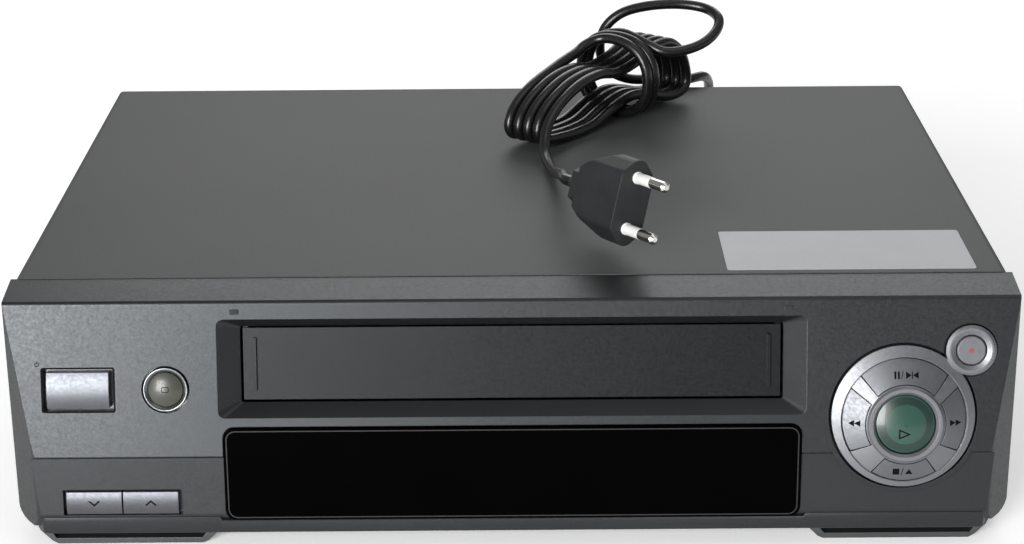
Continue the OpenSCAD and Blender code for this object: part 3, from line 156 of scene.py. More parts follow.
class Weave:
    """Builds one material's node tree."""

    def __init__(self, name: str) -> None:
        """Starts a material.

        Args:
            name: The material's name.
        """
        self.material = bpy.data.materials.new(name)
        self.material.use_nodes = True
        self.tree = self.material.node_tree
        self.shader = self.tree.nodes["Principled BSDF"]
        self.coords = self.add("ShaderNodeTexCoord").outputs["Object"]

    def add(self, kind: str, **inputs: object) -> bpy.types.Node:
        """Adds a node and sets or links its inputs.

        Args:
            kind: The node's type.
            inputs: Values or output sockets by input name, with _ for a space, or by i and a number.

        Returns:
            The new node.
        """
        node = self.tree.nodes.new(kind)
        for key, value in inputs.items():
            numbered = key[0] == "i" and key[1:].isdigit()
            self.feed(node.inputs[int(key[1:]) if numbered else key.replace("_", " ")], value)
        return node

    def feed(self, socket: bpy.types.NodeSocket, value: object) -> None:
        """Links an output to a socket, or sets the socket's value.

        Args:
            socket: The input that is fed.
            value: An output, or a constant.
        """
        if isinstance(value, bpy.types.NodeSocket):
            self.tree.links.new(value, socket)
        else:
            socket.default_value = value

    def paint(self, **inputs: object) -> None:
        """Sets or links inputs of the shader, by name with _ for a space."""
        for key, value in inputs.items():
            self.feed(self.shader.inputs[key.replace("_", " ")], value)

    def noise(self, scale: float, detail: float = 3.0, stretch: Point = (1, 1, 1)) -> bpy.types.NodeSocket:
        """Adds a noise that reads object coordinates.

        Args:
            scale: Features per metre.
            detail: Octaves of the noise.
            stretch: Scale along each axis.

        Returns:
            The noise's value.
        """
        mapped = self.add("ShaderNodeMapping", Vector=self.coords, Scale=stretch).outputs[0]
        return self.add("ShaderNodeTexNoise", Vector=mapped, Scale=scale, Detail=detail).outputs[0]

    def spread(self, value: bpy.types.NodeSocket, low: float, high: float) -> bpy.types.NodeSocket:
        """Maps a value from the middle of its range to low..high."""
        middle = {"From_Min": 0.3, "From_Max": 0.7}
        return self.add("ShaderNodeMapRange", Value=value, To_Min=low, To_Max=high, **middle).outputs[0]

    def mix(self, share: object, first: object, second: object) -> bpy.types.NodeSocket:
        """Mixes two colours.

        Args:
            share: Share of the second colour.
            first: A colour or an output.
            second: A colour or an output.

        Returns:
            The mixed colour.
        """
        node = self.tree.nodes.new("ShaderNodeMix")
        node.data_type = "RGBA"
        for name, value in (("Factor_Float", share), ("A_Color", first), ("B_Color", second)):
            self.feed(next(s for s in node.inputs if s.identifier == name), value)
        return next(s for s in node.outputs if s.identifier == "Result_Color")

    def relief(self, height: bpy.types.NodeSocket, depth: float, edge: float) -> None:
        """Gives the shader a bump over softened edges.

        Args:
            height: The bump's height.
            depth: Depth of the bump in millimetres.
            edge: Radius of the softened edges in millimetres.
        """
        bump = self.add("ShaderNodeBump", Height=height, Distance=depth * MM, Strength=1.0)
        if edge > 0:
            soft = self.add("ShaderNodeBevel", Radius=edge * MM)
            soft.samples = 4
            self.feed(bump.inputs["Normal"], soft.outputs[0])
        self.paint(Normal=bump.outputs[0])


# The materials made so far, by name
BUILT: dict[str, bpy.types.Material] = {}


@dataclass(frozen=True)
class Finish:
    """A finish with mottled colour, varying gloss and a fine grain."""

    name: str
    colour: Rgb
    tint: Rgb
    rough: float = 0.5
    metallic: float = 0.0
    specular: float = 0.5
    coat: float = 0.0
    mottle: float = 40.0
    grain: float = 2200.0
    depth: float = 0.01
    edge: float = 0.3
    spread: float = 0.06
    stretch: Point = (1.0, 1.0, 1.0)

    def build(self) -> bpy.types.Material:
        """Builds the finish, once.

        Returns:
            Its material.
        """
        if self.name not in BUILT:
            weave = Weave(self.name)
            self.dress(weave)
            BUILT[self.name] = weave.material
        return BUILT[self.name]

    def base(self, weave: Weave, octaves: float = 4.0) -> bpy.types.NodeSocket:
        """The mottled colour."""
        share = weave.spread(weave.noise(self.mottle, octaves), 0, 1)
        return weave.mix(share, linear(self.colour), linear(self.tint))

    def gloss(self, weave: Weave, grain: bpy.types.NodeSocket, coat_rough: float) -> None:
        """Sets how the surface shines.

        Args:
            weave: The material.
            grain: The noise that the roughness follows.
            coat_rough: Roughness of the clear coat.
        """
        weave.paint(Roughness=weave.spread(grain, self.rough - self.spread, self.rough + self.spread),
                    Metallic=self.metallic, Specular_IOR_Level=self.specular, Coat_Weight=self.coat,
                    Coat_Roughness=coat_rough)
        weave.relief(grain, self.depth, self.edge)

    def dress(self, weave: Weave) -> None:
        """Fills the material's node tree."""
        weave.paint(Base_Color=self.base(weave))
        self.gloss(weave, weave.noise(self.grain, 2.0, self.stretch), 0.08)


@dataclass(frozen=True)
class FlakePaint(Finish):
    """A metallic paint with fine flakes that are brighter than the rest."""

    flake: float = 9000.0
    flake_share: float = 0.1
    flake_tint: Rgb = (118, 120, 122)

    def dress(self, weave: Weave) -> None:
        """Fills the node tree with a mottled base, bright flakes and a fine peel.

        Args:
            weave: The material.
        """
        cells = weave.add("ShaderNodeTexVoronoi", Vector=weave.coords, Scale=self.flake)
        pick = weave.add("ShaderNodeSeparateColor", Color=cells.outputs["Color"]).outputs[0]
        bright = weave.add("ShaderNodeMapRange", Value=pick, From_Min=0.4, From_Max=1.0, To_Min=0.0,
                           To_Max=self.flake_share)
        weave.paint(Base_Color=weave.mix(bright.outputs[0], self.base(weave), linear(self.flake_tint)))
        self.gloss(weave, weave.noise(self.grain, 2.0), 0.15)


@dataclass(frozen=True)
class TintedGlass(Finish):
    """A dark or coloured plastic with a polished face."""

    def dress(self, weave: Weave) -> None:
        """Fills the node tree with a deep colour under a polished skin.

        Args:
            weave: The material.
        """
        weave.paint(Base_Color=self.base(weave, 3.0), Roughness=self.rough, Specular_IOR_Level=self.specular,
                    Coat_Weight=self.coat, Coat_Roughness=0.03, IOR=1.49)
        weave.relief(weave.noise(self.grain, 1.0), self.depth, self.edge)


@dataclass(frozen=True)
class StudioFloor(Finish):
    """A pale floor that the camera, metal and glass see a little brighter than it is lit."""

    glow: float = 0.3

    def dress(self, weave: Weave) -> None:
        """Fills the node tree and adds the glow by the kind of ray.

        Args:
            weave: The material.
        """
        super().dress(weave)
        path = weave.add("ShaderNodeLightPath").outputs
        share = path["Is Camera Ray"]
        for name in ("Is Glossy Ray", "Is Transmission Ray"):
            both = weave.add("ShaderNodeMath", i0=share, i1=path[name])
            both.operation = "MAXIMUM"
            share = both.outputs[0]
        level = weave.add("ShaderNodeMapRange", Value=share, To_Min=0.0, To_Max=self.glow)
        weave.paint(Emission_Strength=level.outputs[0], Emission_Color=(1, 1, 1, 1))


class Palette:
    """Every finish of the deck."""

    FRONT = FlakePaint("front_silver_paint", (56, 58, 59), (52, 54, 55), rough=0.38, metallic=0.85,
                       grain=900, depth=0.003, edge=0.35, mottle=14, specular=0.4)
    DOOR = FlakePaint("door_silver_paint", (36, 37, 38), (33, 34, 35), rough=0.38, metallic=0.85,
                      grain=900, depth=0.003, edge=0.3, mottle=14, specular=0.4, flake_tint=(76, 78, 80))
    BEZEL = FlakePaint("bezel_silver", (120, 122, 125), (114, 116, 119), rough=0.47, metallic=0.9,
                       grain=700, depth=0.001, flake_share=0.04, edge=0.3, mottle=20, coat=0.2,
                       flake_tint=(190, 192, 195))
    BUTTON = FlakePaint("button_silver", (106, 108, 111), (101, 103, 106), rough=0.46, metallic=0.85,
                        grain=900, depth=0.001, flake_share=0.04, edge=0.35, mottle=60,
                        flake_tint=(176, 178, 181))
    BARREL = FlakePaint("barrel_key_silver", (88, 90, 94), (83, 85, 89), rough=0.34, metallic=0.85,
                        grain=900, depth=0.001, flake_share=0.04, edge=0.35, mottle=60,
                        flake_tint=(150, 152, 155))
    CHROME = Finish("button_ring_bright", (112, 114, 115), (104, 106, 107), rough=0.3, metallic=1.0,
                    mottle=90, grain=1800, depth=0.002, edge=0.15, spread=0.04)
    OLIVE = Finish("button_smoked_olive", (62, 64, 54), (54, 56, 48), rough=0.36, grain=1500, depth=0.003,
                   coat=0.15, mottle=200, edge=0.2)
    GREEN = TintedGlass("button_clear_green", (38, 72, 62), (33, 65, 56), rough=0.3, coat=0.2, grain=300,
                        depth=0.003, mottle=90, edge=0.25)
    GREEN_DEEP = TintedGlass("button_rim_green", (24, 48, 41), (20, 42, 36), rough=0.3, coat=0.2, grain=300,
                             depth=0.003, mottle=90, edge=0.1)
    WINDOW = TintedGlass("window_smoked", (2, 2, 2), (1, 1, 1), rough=0.12, specular=0.015, grain=60,
                         depth=0.003, mottle=30, edge=0.5)
    # Dark grey that paints the highlight along the window's polished bevelled edge.
    WINDOW_BEVEL_HIGHLIGHT = Finish("window_edge_line", (30, 31, 33), (24, 25, 27), rough=0.35, mottle=200, grain=1200,
                         depth=0.002, edge=0.0)
    COVER = Finish("cover_grey_paint", (76, 78, 77), (72, 74, 73), rough=0.55, specular=0.15, mottle=9,
                   grain=1500, depth=0.03, edge=0.5, spread=0.05)
    ZINC = Finish("zinc_plated_steel", (166, 168, 168), (158, 160, 161), rough=0.38, metallic=0.9, mottle=55,
                  grain=1200, depth=0.006, edge=0.2, spread=0.1)
    STEEL = Finish("bright_steel", (182, 184, 186), (160, 163, 166), rough=0.24, metallic=1.0, mottle=120,
                   grain=2600, depth=0.003, edge=0.1)
    DARK_STEEL = Finish("blackened_steel", (70, 71, 72), (52, 53, 54), rough=0.4, metallic=0.8, mottle=200,
                        grain=2000, depth=0.006, edge=0.15)
    FOOT = FlakePaint("foot_silver_plastic", (86, 88, 89), (80, 82, 83), rough=0.4, metallic=0.8,
                      grain=1100, depth=0.006, edge=0.4, mottle=24)
    # Black rubber of the rear feet; it also paints the shade in the front feet's recesses.
    RUBBER = Finish("foot_black_rubber", (34, 34, 35), (26, 26, 27), rough=0.82, mottle=160, grain=1500,
                    depth=0.05, edge=0.4, specular=0.3)
    DRIVE = Finish("drive_rubber", (24, 24, 25), (18, 18, 19), rough=0.7, mottle=220, grain=2400, depth=0.02)
    BLACK = Finish("black_plastic", (27, 28, 30), (20, 21, 23), rough=0.48, mottle=140, grain=1800,
                   depth=0.02)
    WHITE = Finish("white_plastic", (222, 220, 208), (208, 206, 194), rough=0.45, mottle=90, grain=1500,
                   depth=0.01)
    TIN = Finish("tin_plate", (190, 192, 192), (170, 173, 174), rough=0.3, metallic=0.95, mottle=80,
                 grain=900, depth=0.006, edge=0.2)
    BOARD = Finish("board_green_lacquer", (48, 92, 50), (36, 76, 42), rough=0.35, mottle=320, grain=900,
                   depth=0.02, edge=0.1, coat=0.3)
    BOARD_TAN = Finish("board_tan_paper", (170, 138, 82), (152, 120, 66), rough=0.55, mottle=260, grain=1400,
                       depth=0.02, edge=0.1)
    TUBE = TintedGlass("display_glass", (32, 66, 60), (24, 50, 46), rough=0.1, grain=200, depth=0.004,
                       coat=0.6)
    IRON = Finish("transformer_laminations", (150, 96, 44), (116, 74, 34), rough=0.5, mottle=60, grain=1300,
                  depth=0.12, edge=0.1, stretch=(1, 4, 1))
    ALUMINIUM = Finish("turned_aluminium", (206, 208, 210), (190, 192, 196), rough=0.22, metallic=1.0,
                       mottle=60, grain=2400, depth=0.004, edge=0.2, stretch=(0.1, 0.1, 3))
    CORD = Finish("cord_black_vinyl", (16, 16, 17), (10, 10, 11), rough=0.3, specular=0.5, mottle=120,
                  grain=1400, depth=0.015, edge=0.0)
    PLUG = Finish("plug_black_vinyl", (30, 31, 33), (22, 23, 25), rough=0.55, mottle=150, grain=1900,
                  depth=0.03, edge=0.6)
    SLEEVE = Finish("pin_sleeve_white", (226, 226, 224), (212, 212, 210), rough=0.4, mottle=200, grain=1500,
                    depth=0.006, edge=0.1)
    NICKEL = Finish("pin_nickel", (214, 212, 206), (198, 196, 192), rough=0.14, metallic=1.0, mottle=260,
                    grain=2600, depth=0.003, edge=0.15, spread=0.05)
    # Black print of the marks; it also paints the shade line round the power key's recess.
    INK = Finish("printed_black_ink", (12, 12, 13), (8, 8, 9), rough=0.75, specular=0.08, mottle=400,
                 grain=3000, depth=0.002, edge=0.0)
    RED = Finish("printed_red_ink", (148, 76, 86), (138, 68, 78), rough=0.6, specular=0.1, mottle=400,
                 grain=3000, depth=0.002, edge=0.0)
    LABEL = Finish("label_pale_film", (176, 177, 179), (169, 170, 173), rough=0.5, specular=0.3, mottle=26,
                   grain=900, depth=0.01, edge=0.1)
    RED_PLASTIC = Finish("jack_red_plastic", (168, 34, 32), (150, 26, 26), rough=0.4, mottle=150)
    GOLD = Finish("contact_gilt", (206, 176, 104), (190, 158, 88), rough=0.22, metallic=1.0, mottle=300)
    FLOOR = StudioFloor("studio_floor", (252, 252, 252), (249, 249, 249), rough=0.8, specular=0.05, mottle=3,
                        grain=120, depth=0.01, edge=0.0)


# Mesh tools


def in_scene(name: str, data: bpy.types.ID) -> bpy.types.Object:
    """Makes data an object of the scene.

    Args:
        name: The object's name.
        data: Its mesh, curve, camera or light.

    Returns:
        The new object.
    """
    thing = bpy.data.objects.new(name, data)
    bpy.context.scene.collection.objects.link(thing)
    return thing


def to_object(name: str, mesh: bpy.types.Mesh, finish: Finish, smooth: bool = True) -> bpy.types.Object:
    """Makes a mesh an object of the scene.

    Args:
        name: The object's name.
        mesh: The finished mesh, in place.
        finish: Its finish.
        smooth: Whether its faces shade smoothly below a crease.

    Returns:
        The new object.
    """
    mesh.materials.clear()
    mesh.materials.append(finish.build())
    if smooth:
        mesh.shade_smooth()
        mesh.set_sharp_from_angle(angle=math.radians(CREASE))
    return in_scene(name, mesh)


def from_shape(name: str, shape: bmesh.types.BMesh, finish: Finish, at: Matrix | None = None,
               smooth: bool = True) -> bpy.types.Object:
    """Turns a shape drawn in millimetres into a placed object.

    Args:
        name: The object's name.
        shape: The shape, in millimetres, which is freed.
        finish: Its finish.
        at: Where it goes, in metres.
        smooth: Whether it shades smoothly.

    Returns:
        The new object.
    """
    bmesh.ops.remove_doubles(shape, verts=shape.verts, dist=1e-4)
    bmesh.ops.recalc_face_normals(shape, faces=shape.faces)
    shape.transform(Matrix.Scale(MM, 4))
    if at:
        shape.transform(at)
    mesh = bpy.data.meshes.new(name)
    shape.to_mesh(mesh)
    shape.free()
    return to_object(name, mesh, finish, smooth)


def finished(piece: bpy.types.Object, body: str, *nodes: str) -> bpy.types.Object:
    """Makes a piece ride on a body and stand for CAD nodes.

    Args:
        piece: The piece.
        body: The body that it rides on.
        nodes: The CAD nodes that it stands for.

    Returns:
        The same piece.
    """
    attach(piece, body)
    if nodes:
        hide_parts(*nodes)
    log.info("%s rides on %s", piece.name, body)
    return piece


def circle(r: float, steps: int) -> list[Flat]:
    """The points of a circle round the origin."""
    return [(r * math.cos(math.tau * k / steps), r * math.sin(math.tau * k / steps)) for k in range(steps)]


def skin(shape: bmesh.types.BMesh, rings: Sequence[Sequence[bmesh.types.BMVert]]) -> None:
    """Joins each ring of corners to the next one.

    Args:
        shape: The shape that gets the faces.
        rings: Rings of equally many corners, or of a single one.
    """
    for low, high in zip(rings, rings[1:]):
        for k in range(max(len(low), len(high))):
            n = k + 1
            corners = (low[k % len(low)], low[n % len(low)], high[n % len(high)], high[k % len(high)])
            ring = list(dict.fromkeys(corners))
            if len(ring) > 2:
                shape.faces.new(ring)


def lathe(name: str, profile: Sequence[Flat], finish: Finish, at: Matrix,
          steps: int = 72) -> bpy.types.Object:
    """Turns a profile about the Z axis.

    Args:
        name: The object's name.
        profile: Radius and height of each point, in millimetres, from the axis to the axis.
        finish: Its finish.
        at: Where it goes.
        steps: Facets round the axis.

    Returns:
        The turned piece.
    """
    shape = bmesh.new()
    rings = []
    for r, z in profile:
        rings.append([shape.verts.new((x, y, z)) for x, y in circle(r, steps if r > 0 else 1)])
    skin(shape, rings)
    return from_shape(name, shape, finish, at)


def sheet_of(loops: Sequence[Sequence[Flat]]) -> tuple[list[Flat], list[tuple[int, int, int]]]:
    """Fills an outline that may have holes.

    Args:
        loops: The outline and its holes, as points in millimetres.

    Returns:
        All points and the triangles between them.
    """
    points = [p for loop in loops for p in loop]
    return points, tessellate_polygon([[Vector((x, y, 0)) for x, y in loop] for loop in loops])


def level(x: float, y: float) -> float:
    """Height of a flat face."""
    return 0.0


@dataclass(frozen=True)
class Print:
    """A mark printed on a face: outlines that follow the face's own height."""

    at: Matrix
    finish: Finish
    height: Callable[[float, float], float] = level
    thick: float = 0.05
    sunk: float = 0.03

    def add(self, shape: bmesh.types.BMesh, loops: Sequence[Sequence[Flat]]) -> None:
        """Adds one filled outline to a shape.

        Args:
            shape: The shape that collects the marks.
            loops: The outline and its holes in millimetres.
        """
        points, triangles = sheet_of(loops)
        levels = []
        for lift in (-self.sunk, self.thick):
            levels.append([shape.verts.new((x, y, self.height(x, y) + lift)) for x, y in points])
        low, high = levels
        for a, b, c in triangles:
            shape.faces.new((high[a], high[b], high[c]))
            shape.faces.new((low[c], low[b], low[a]))
        start = 0
        for loop in loops:
            for i in range(len(loop)):
                a, b = start + i, start + (i + 1) % len(loop)
                shape.faces.new((low[a], low[b], high[b], high[a]))
            start += len(loop)

    def make(self, name: str, marks: Iterable[Sequence[Sequence[Flat]]], body: str) -> bpy.types.Object:
        """Makes one piece of all the marks and lets it ride.

        Args:
            name: The piece's name.
            marks: Each mark's outline and holes.
            body: The body it rides on.

        Returns:
            The printed piece.
        """
        shape = bmesh.new()
        for loops in marks:
            self.add(shape, loops)
        return finished(from_shape(name, shape, self.finish, self.at, smooth=False), body)


def polygon(*points: Flat) -> list[list[Flat]]:
    """One outline without holes."""
    return [list(points)]


def shifted(loops: Sequence[Sequence[Flat]], dx: float, dy: float) -> list[list[Flat]]:
    """Moves an outline across its face."""
    return [[(x + dx, y + dy) for x, y in loop] for loop in loops]


def ring_of(r: float, w: float, steps: int = 40) -> list[list[Flat]]:
    """A round line of radius r and width w."""
    return [circle(r + w / 2, steps), circle(r - w / 2, steps)]


def disc_of(r: float, steps: int = 32) -> list[list[Flat]]:
    """A round dot of radius r."""
    return [circle(r, steps)]


def round_box(w: float, h: float, r: float, steps: int = 6) -> list[Flat]:
    """The outline of a rectangle with round corners.

    Args:
        w: Width.
        h: Height.
        r: Radius of the corners.
        steps: Facets of each corner.

    Returns:
        The outline's points, anticlockwise.
    """
    points = []
    for cx, cy, start in ((1, 1, 0), (-1, 1, 90), (-1, -1, 180), (1, -1, 270)):
        for k in range(steps + 1):
            a = math.radians(start + 90 * k / steps)
            points.append((cx * (w / 2 - r) + r * math.cos(a), cy * (h / 2 - r) + r * math.sin(a)))
    return points


# Repeated pieces


@dataclass
class Row:
    """A row of equal small pieces, made with Geometry Nodes and baked to one mesh."""

    name: str
    count: int
    start: Point
    step: Point
    finish: Finish
    body: str

    def tree(self) -> bpy.types.NodeTree:
        """Builds the node tree that sets a piece out along a line.

        Returns:
            The tree, with inputs for the count, start, step, piece and finish.
        """
        tree = bpy.data.node_groups.new(f"{self.name}_row", "GeometryNodeTree")
        face = tree.interface
        face.new_socket("Geometry", in_out="OUTPUT", socket_type="NodeSocketGeometry")
        for label, kind in (("Count", "Int"), ("Start", "Vector"), ("Step", "Vector"), ("Piece", "Object"),
                            ("Finish", "Material")):
            face.new_socket(label, in_out="INPUT", socket_type=f"NodeSocket{kind}")
        nodes, links = tree.nodes, tree.links
        given, out = nodes.new("NodeGroupInput"), nodes.new("NodeGroupOutput")
        line = nodes.new("GeometryNodeMeshLine")
        line.mode = "OFFSET"
        links.new(given.outputs["Count"], line.inputs["Count"])
        links.new(given.outputs["Start"], line.inputs["Start Location"])
        links.new(given.outputs["Step"], line.inputs["Offset"])
        info = nodes.new("GeometryNodeObjectInfo")
        links.new(given.outputs["Piece"], info.inputs["Object"])
        spread = nodes.new("GeometryNodeInstanceOnPoints")
        links.new(line.outputs[0], spread.inputs["Points"])
        links.new(info.outputs["Geometry"], spread.inputs["Instance"])
        real = nodes.new("GeometryNodeRealizeInstances")
        links.new(spread.outputs[0], real.inputs[0])
        coat = nodes.new("GeometryNodeSetMaterial")
        links.new(real.outputs[0], coat.inputs["Geometry"])
        links.new(given.outputs["Finish"], coat.inputs["Material"])
        links.new(coat.outputs[0], out.inputs[0])
        return tree

    def bake(self, piece: bpy.types.Object) -> bpy.types.Object:
        """Repeats a piece and bakes the row.

        Args:
            piece: The piece that is repeated, which is removed.

        Returns:
            The baked row, riding on its body.
        """
        name = f"{self.name}_carrier"
        carrier = in_scene(name, bpy.data.meshes.new(name))
        modifier = carrier.modifiers.new("row", "NODES")
        modifier.node_group = self.tree()
        start, step = ([v * MM for v in way] for way in (self.start, self.step))
        values = {"Count": self.count, "Start": start, "Step": step, "Piece": piece,
                  "Finish": self.finish.build()}
        for item in modifier.node_group.interface.items_tree:
            if item.in_out == "INPUT":
                modifier[item.identifier] = values[item.name]
        bpy.context.view_layer.update()
        graph = bpy.context.evaluated_depsgraph_get()
        mesh = bpy.data.meshes.new_from_object(carrier.evaluated_get(graph))
        carrier.modifiers.remove(modifier)
        for gone in (carrier, piece):
            bpy.data.objects.remove(gone)
        return finished(to_object(self.name, mesh, self.finish), self.body)


# Studio


@dataclass(frozen=True)
class Lamp:
    """One soft lamp: its place, aim and size in metres, and its power in watts."""

    name: str
    at: Point
    aim: Point
    size: Flat
    power: float

    def build(self) -> None:
        """Hangs the lamp."""
        data = bpy.data.lights.new(self.name, "AREA")
        data.shape, data.energy = "RECTANGLE", self.power
        data.size, data.size_y = self.size
        facing = (Vector(self.aim) - Vector(self.at)).to_track_quat("-Z", "Y").to_matrix().to_4x4()
        in_scene(self.name, data).matrix_world = Matrix.Translation(self.at) @ facing


@dataclass
class Studio:
    """The camera at the photograph's place, a pale floor and soft light."""

    focal: float = 2330.0
    image_w: float = 1024.0
    sensor_w: float = 36.0
    camera_at: Point = (1.36, -890.2, 390.25)
    yaw: float = -0.079
    pitch: float = 20.648
    roll: float = -0.448
    sky: float = 0.3
    floor_half: float = 4.0
    floor_cells: int = 40
    lamps: tuple[Lamp, ...] = (
        Lamp("key_lamp", (-0.88, -2.0, 0.56), (-0.1, -0.15, 0.05), (0.9, 1.1), 66),
        Lamp("back_lamp", (0.1, 1.7, 1.05), (0, 0, 0.09), (1.4, 1.2), 13),
        Lamp("top_lamp", (0.7, -0.4, 2.0), (0, 0, 0.05), (1.4, 1.4), 5),
    )

    def camera(self) -> None:
        """Sets the camera up where the photograph was taken."""
        data = bpy.data.cameras.new("camera")
        data.sensor_width = self.sensor_w
        data.lens = self.sensor_w * self.focal / self.image_w
        data.clip_start, data.clip_end = 0.01, 50.0
        yaw, pitch, roll = (math.radians(a) for a in (self.yaw, self.pitch, self.roll))
        ahead = Vector((math.sin(yaw) * math.cos(pitch), math.cos(yaw) * math.cos(pitch), -math.sin(pitch)))
        right = Vector((math.cos(yaw), -math.sin(yaw), 0))
        up = right.cross(ahead)
        across = math.cos(roll) * right + math.sin(roll) * up
        above = math.cos(roll) * up - math.sin(roll) * right
        turn = Matrix((across, above, -ahead)).transposed().to_4x4()
        camera = in_scene("camera", data)
        camera.matrix_world = Matrix.Translation(Vector(self.camera_at) * MM) @ turn
        bpy.context.scene.camera = camera

    def world(self) -> None:
        """Lights the room evenly with a plain pale grey."""
        world = bpy.data.worlds.new("room")
        bpy.context.scene.world = world
        world.use_nodes = True
        back = world.node_tree.nodes["Background"].inputs
        back["Color"].default_value = (1, 1, 1, 1)
        back["Strength"].default_value = self.sky

    def floor(self) -> None:
        """Lays the flat floor."""
        shape = bmesh.new()
        cells = self.floor_cells
        bmesh.ops.create_grid(shape, x_segments=cells, y_segments=cells, size=self.floor_half / MM)
        mesh = bpy.data.meshes.new("floor")
        shape.transform(Matrix.Scale(MM, 4))
        shape.to_mesh(mesh)
        shape.free()
        to_object("floor", mesh, Palette.FLOOR)

    def build(self) -> None:
        """Sets the whole studio up."""
        self.camera()
        self.world()
        self.floor()
        for lamp in self.lamps:
            lamp.build()
        bpy.context.scene.view_settings.view_transform = "Standard"
        log.info("studio is set")


# Mains cord


def turn_by(angles: Sequence[float]) -> Matrix:
    """Gives a turn about X, then Y, then Z.

    Args:
        angles: The three angles in degrees.

    Returns:
        The turn.
    """
    turn = Matrix.Identity(3)
    for axis, angle in zip("XYZ", angles):
        turn = Matrix.Rotation(math.radians(angle), 3, axis) @ turn
    return turn


def ease(t: float) -> float:
    """A smooth step from 0 to 1."""
    c = min(1.0, max(0.0, t))
    return c * c * (3 - 2 * c)


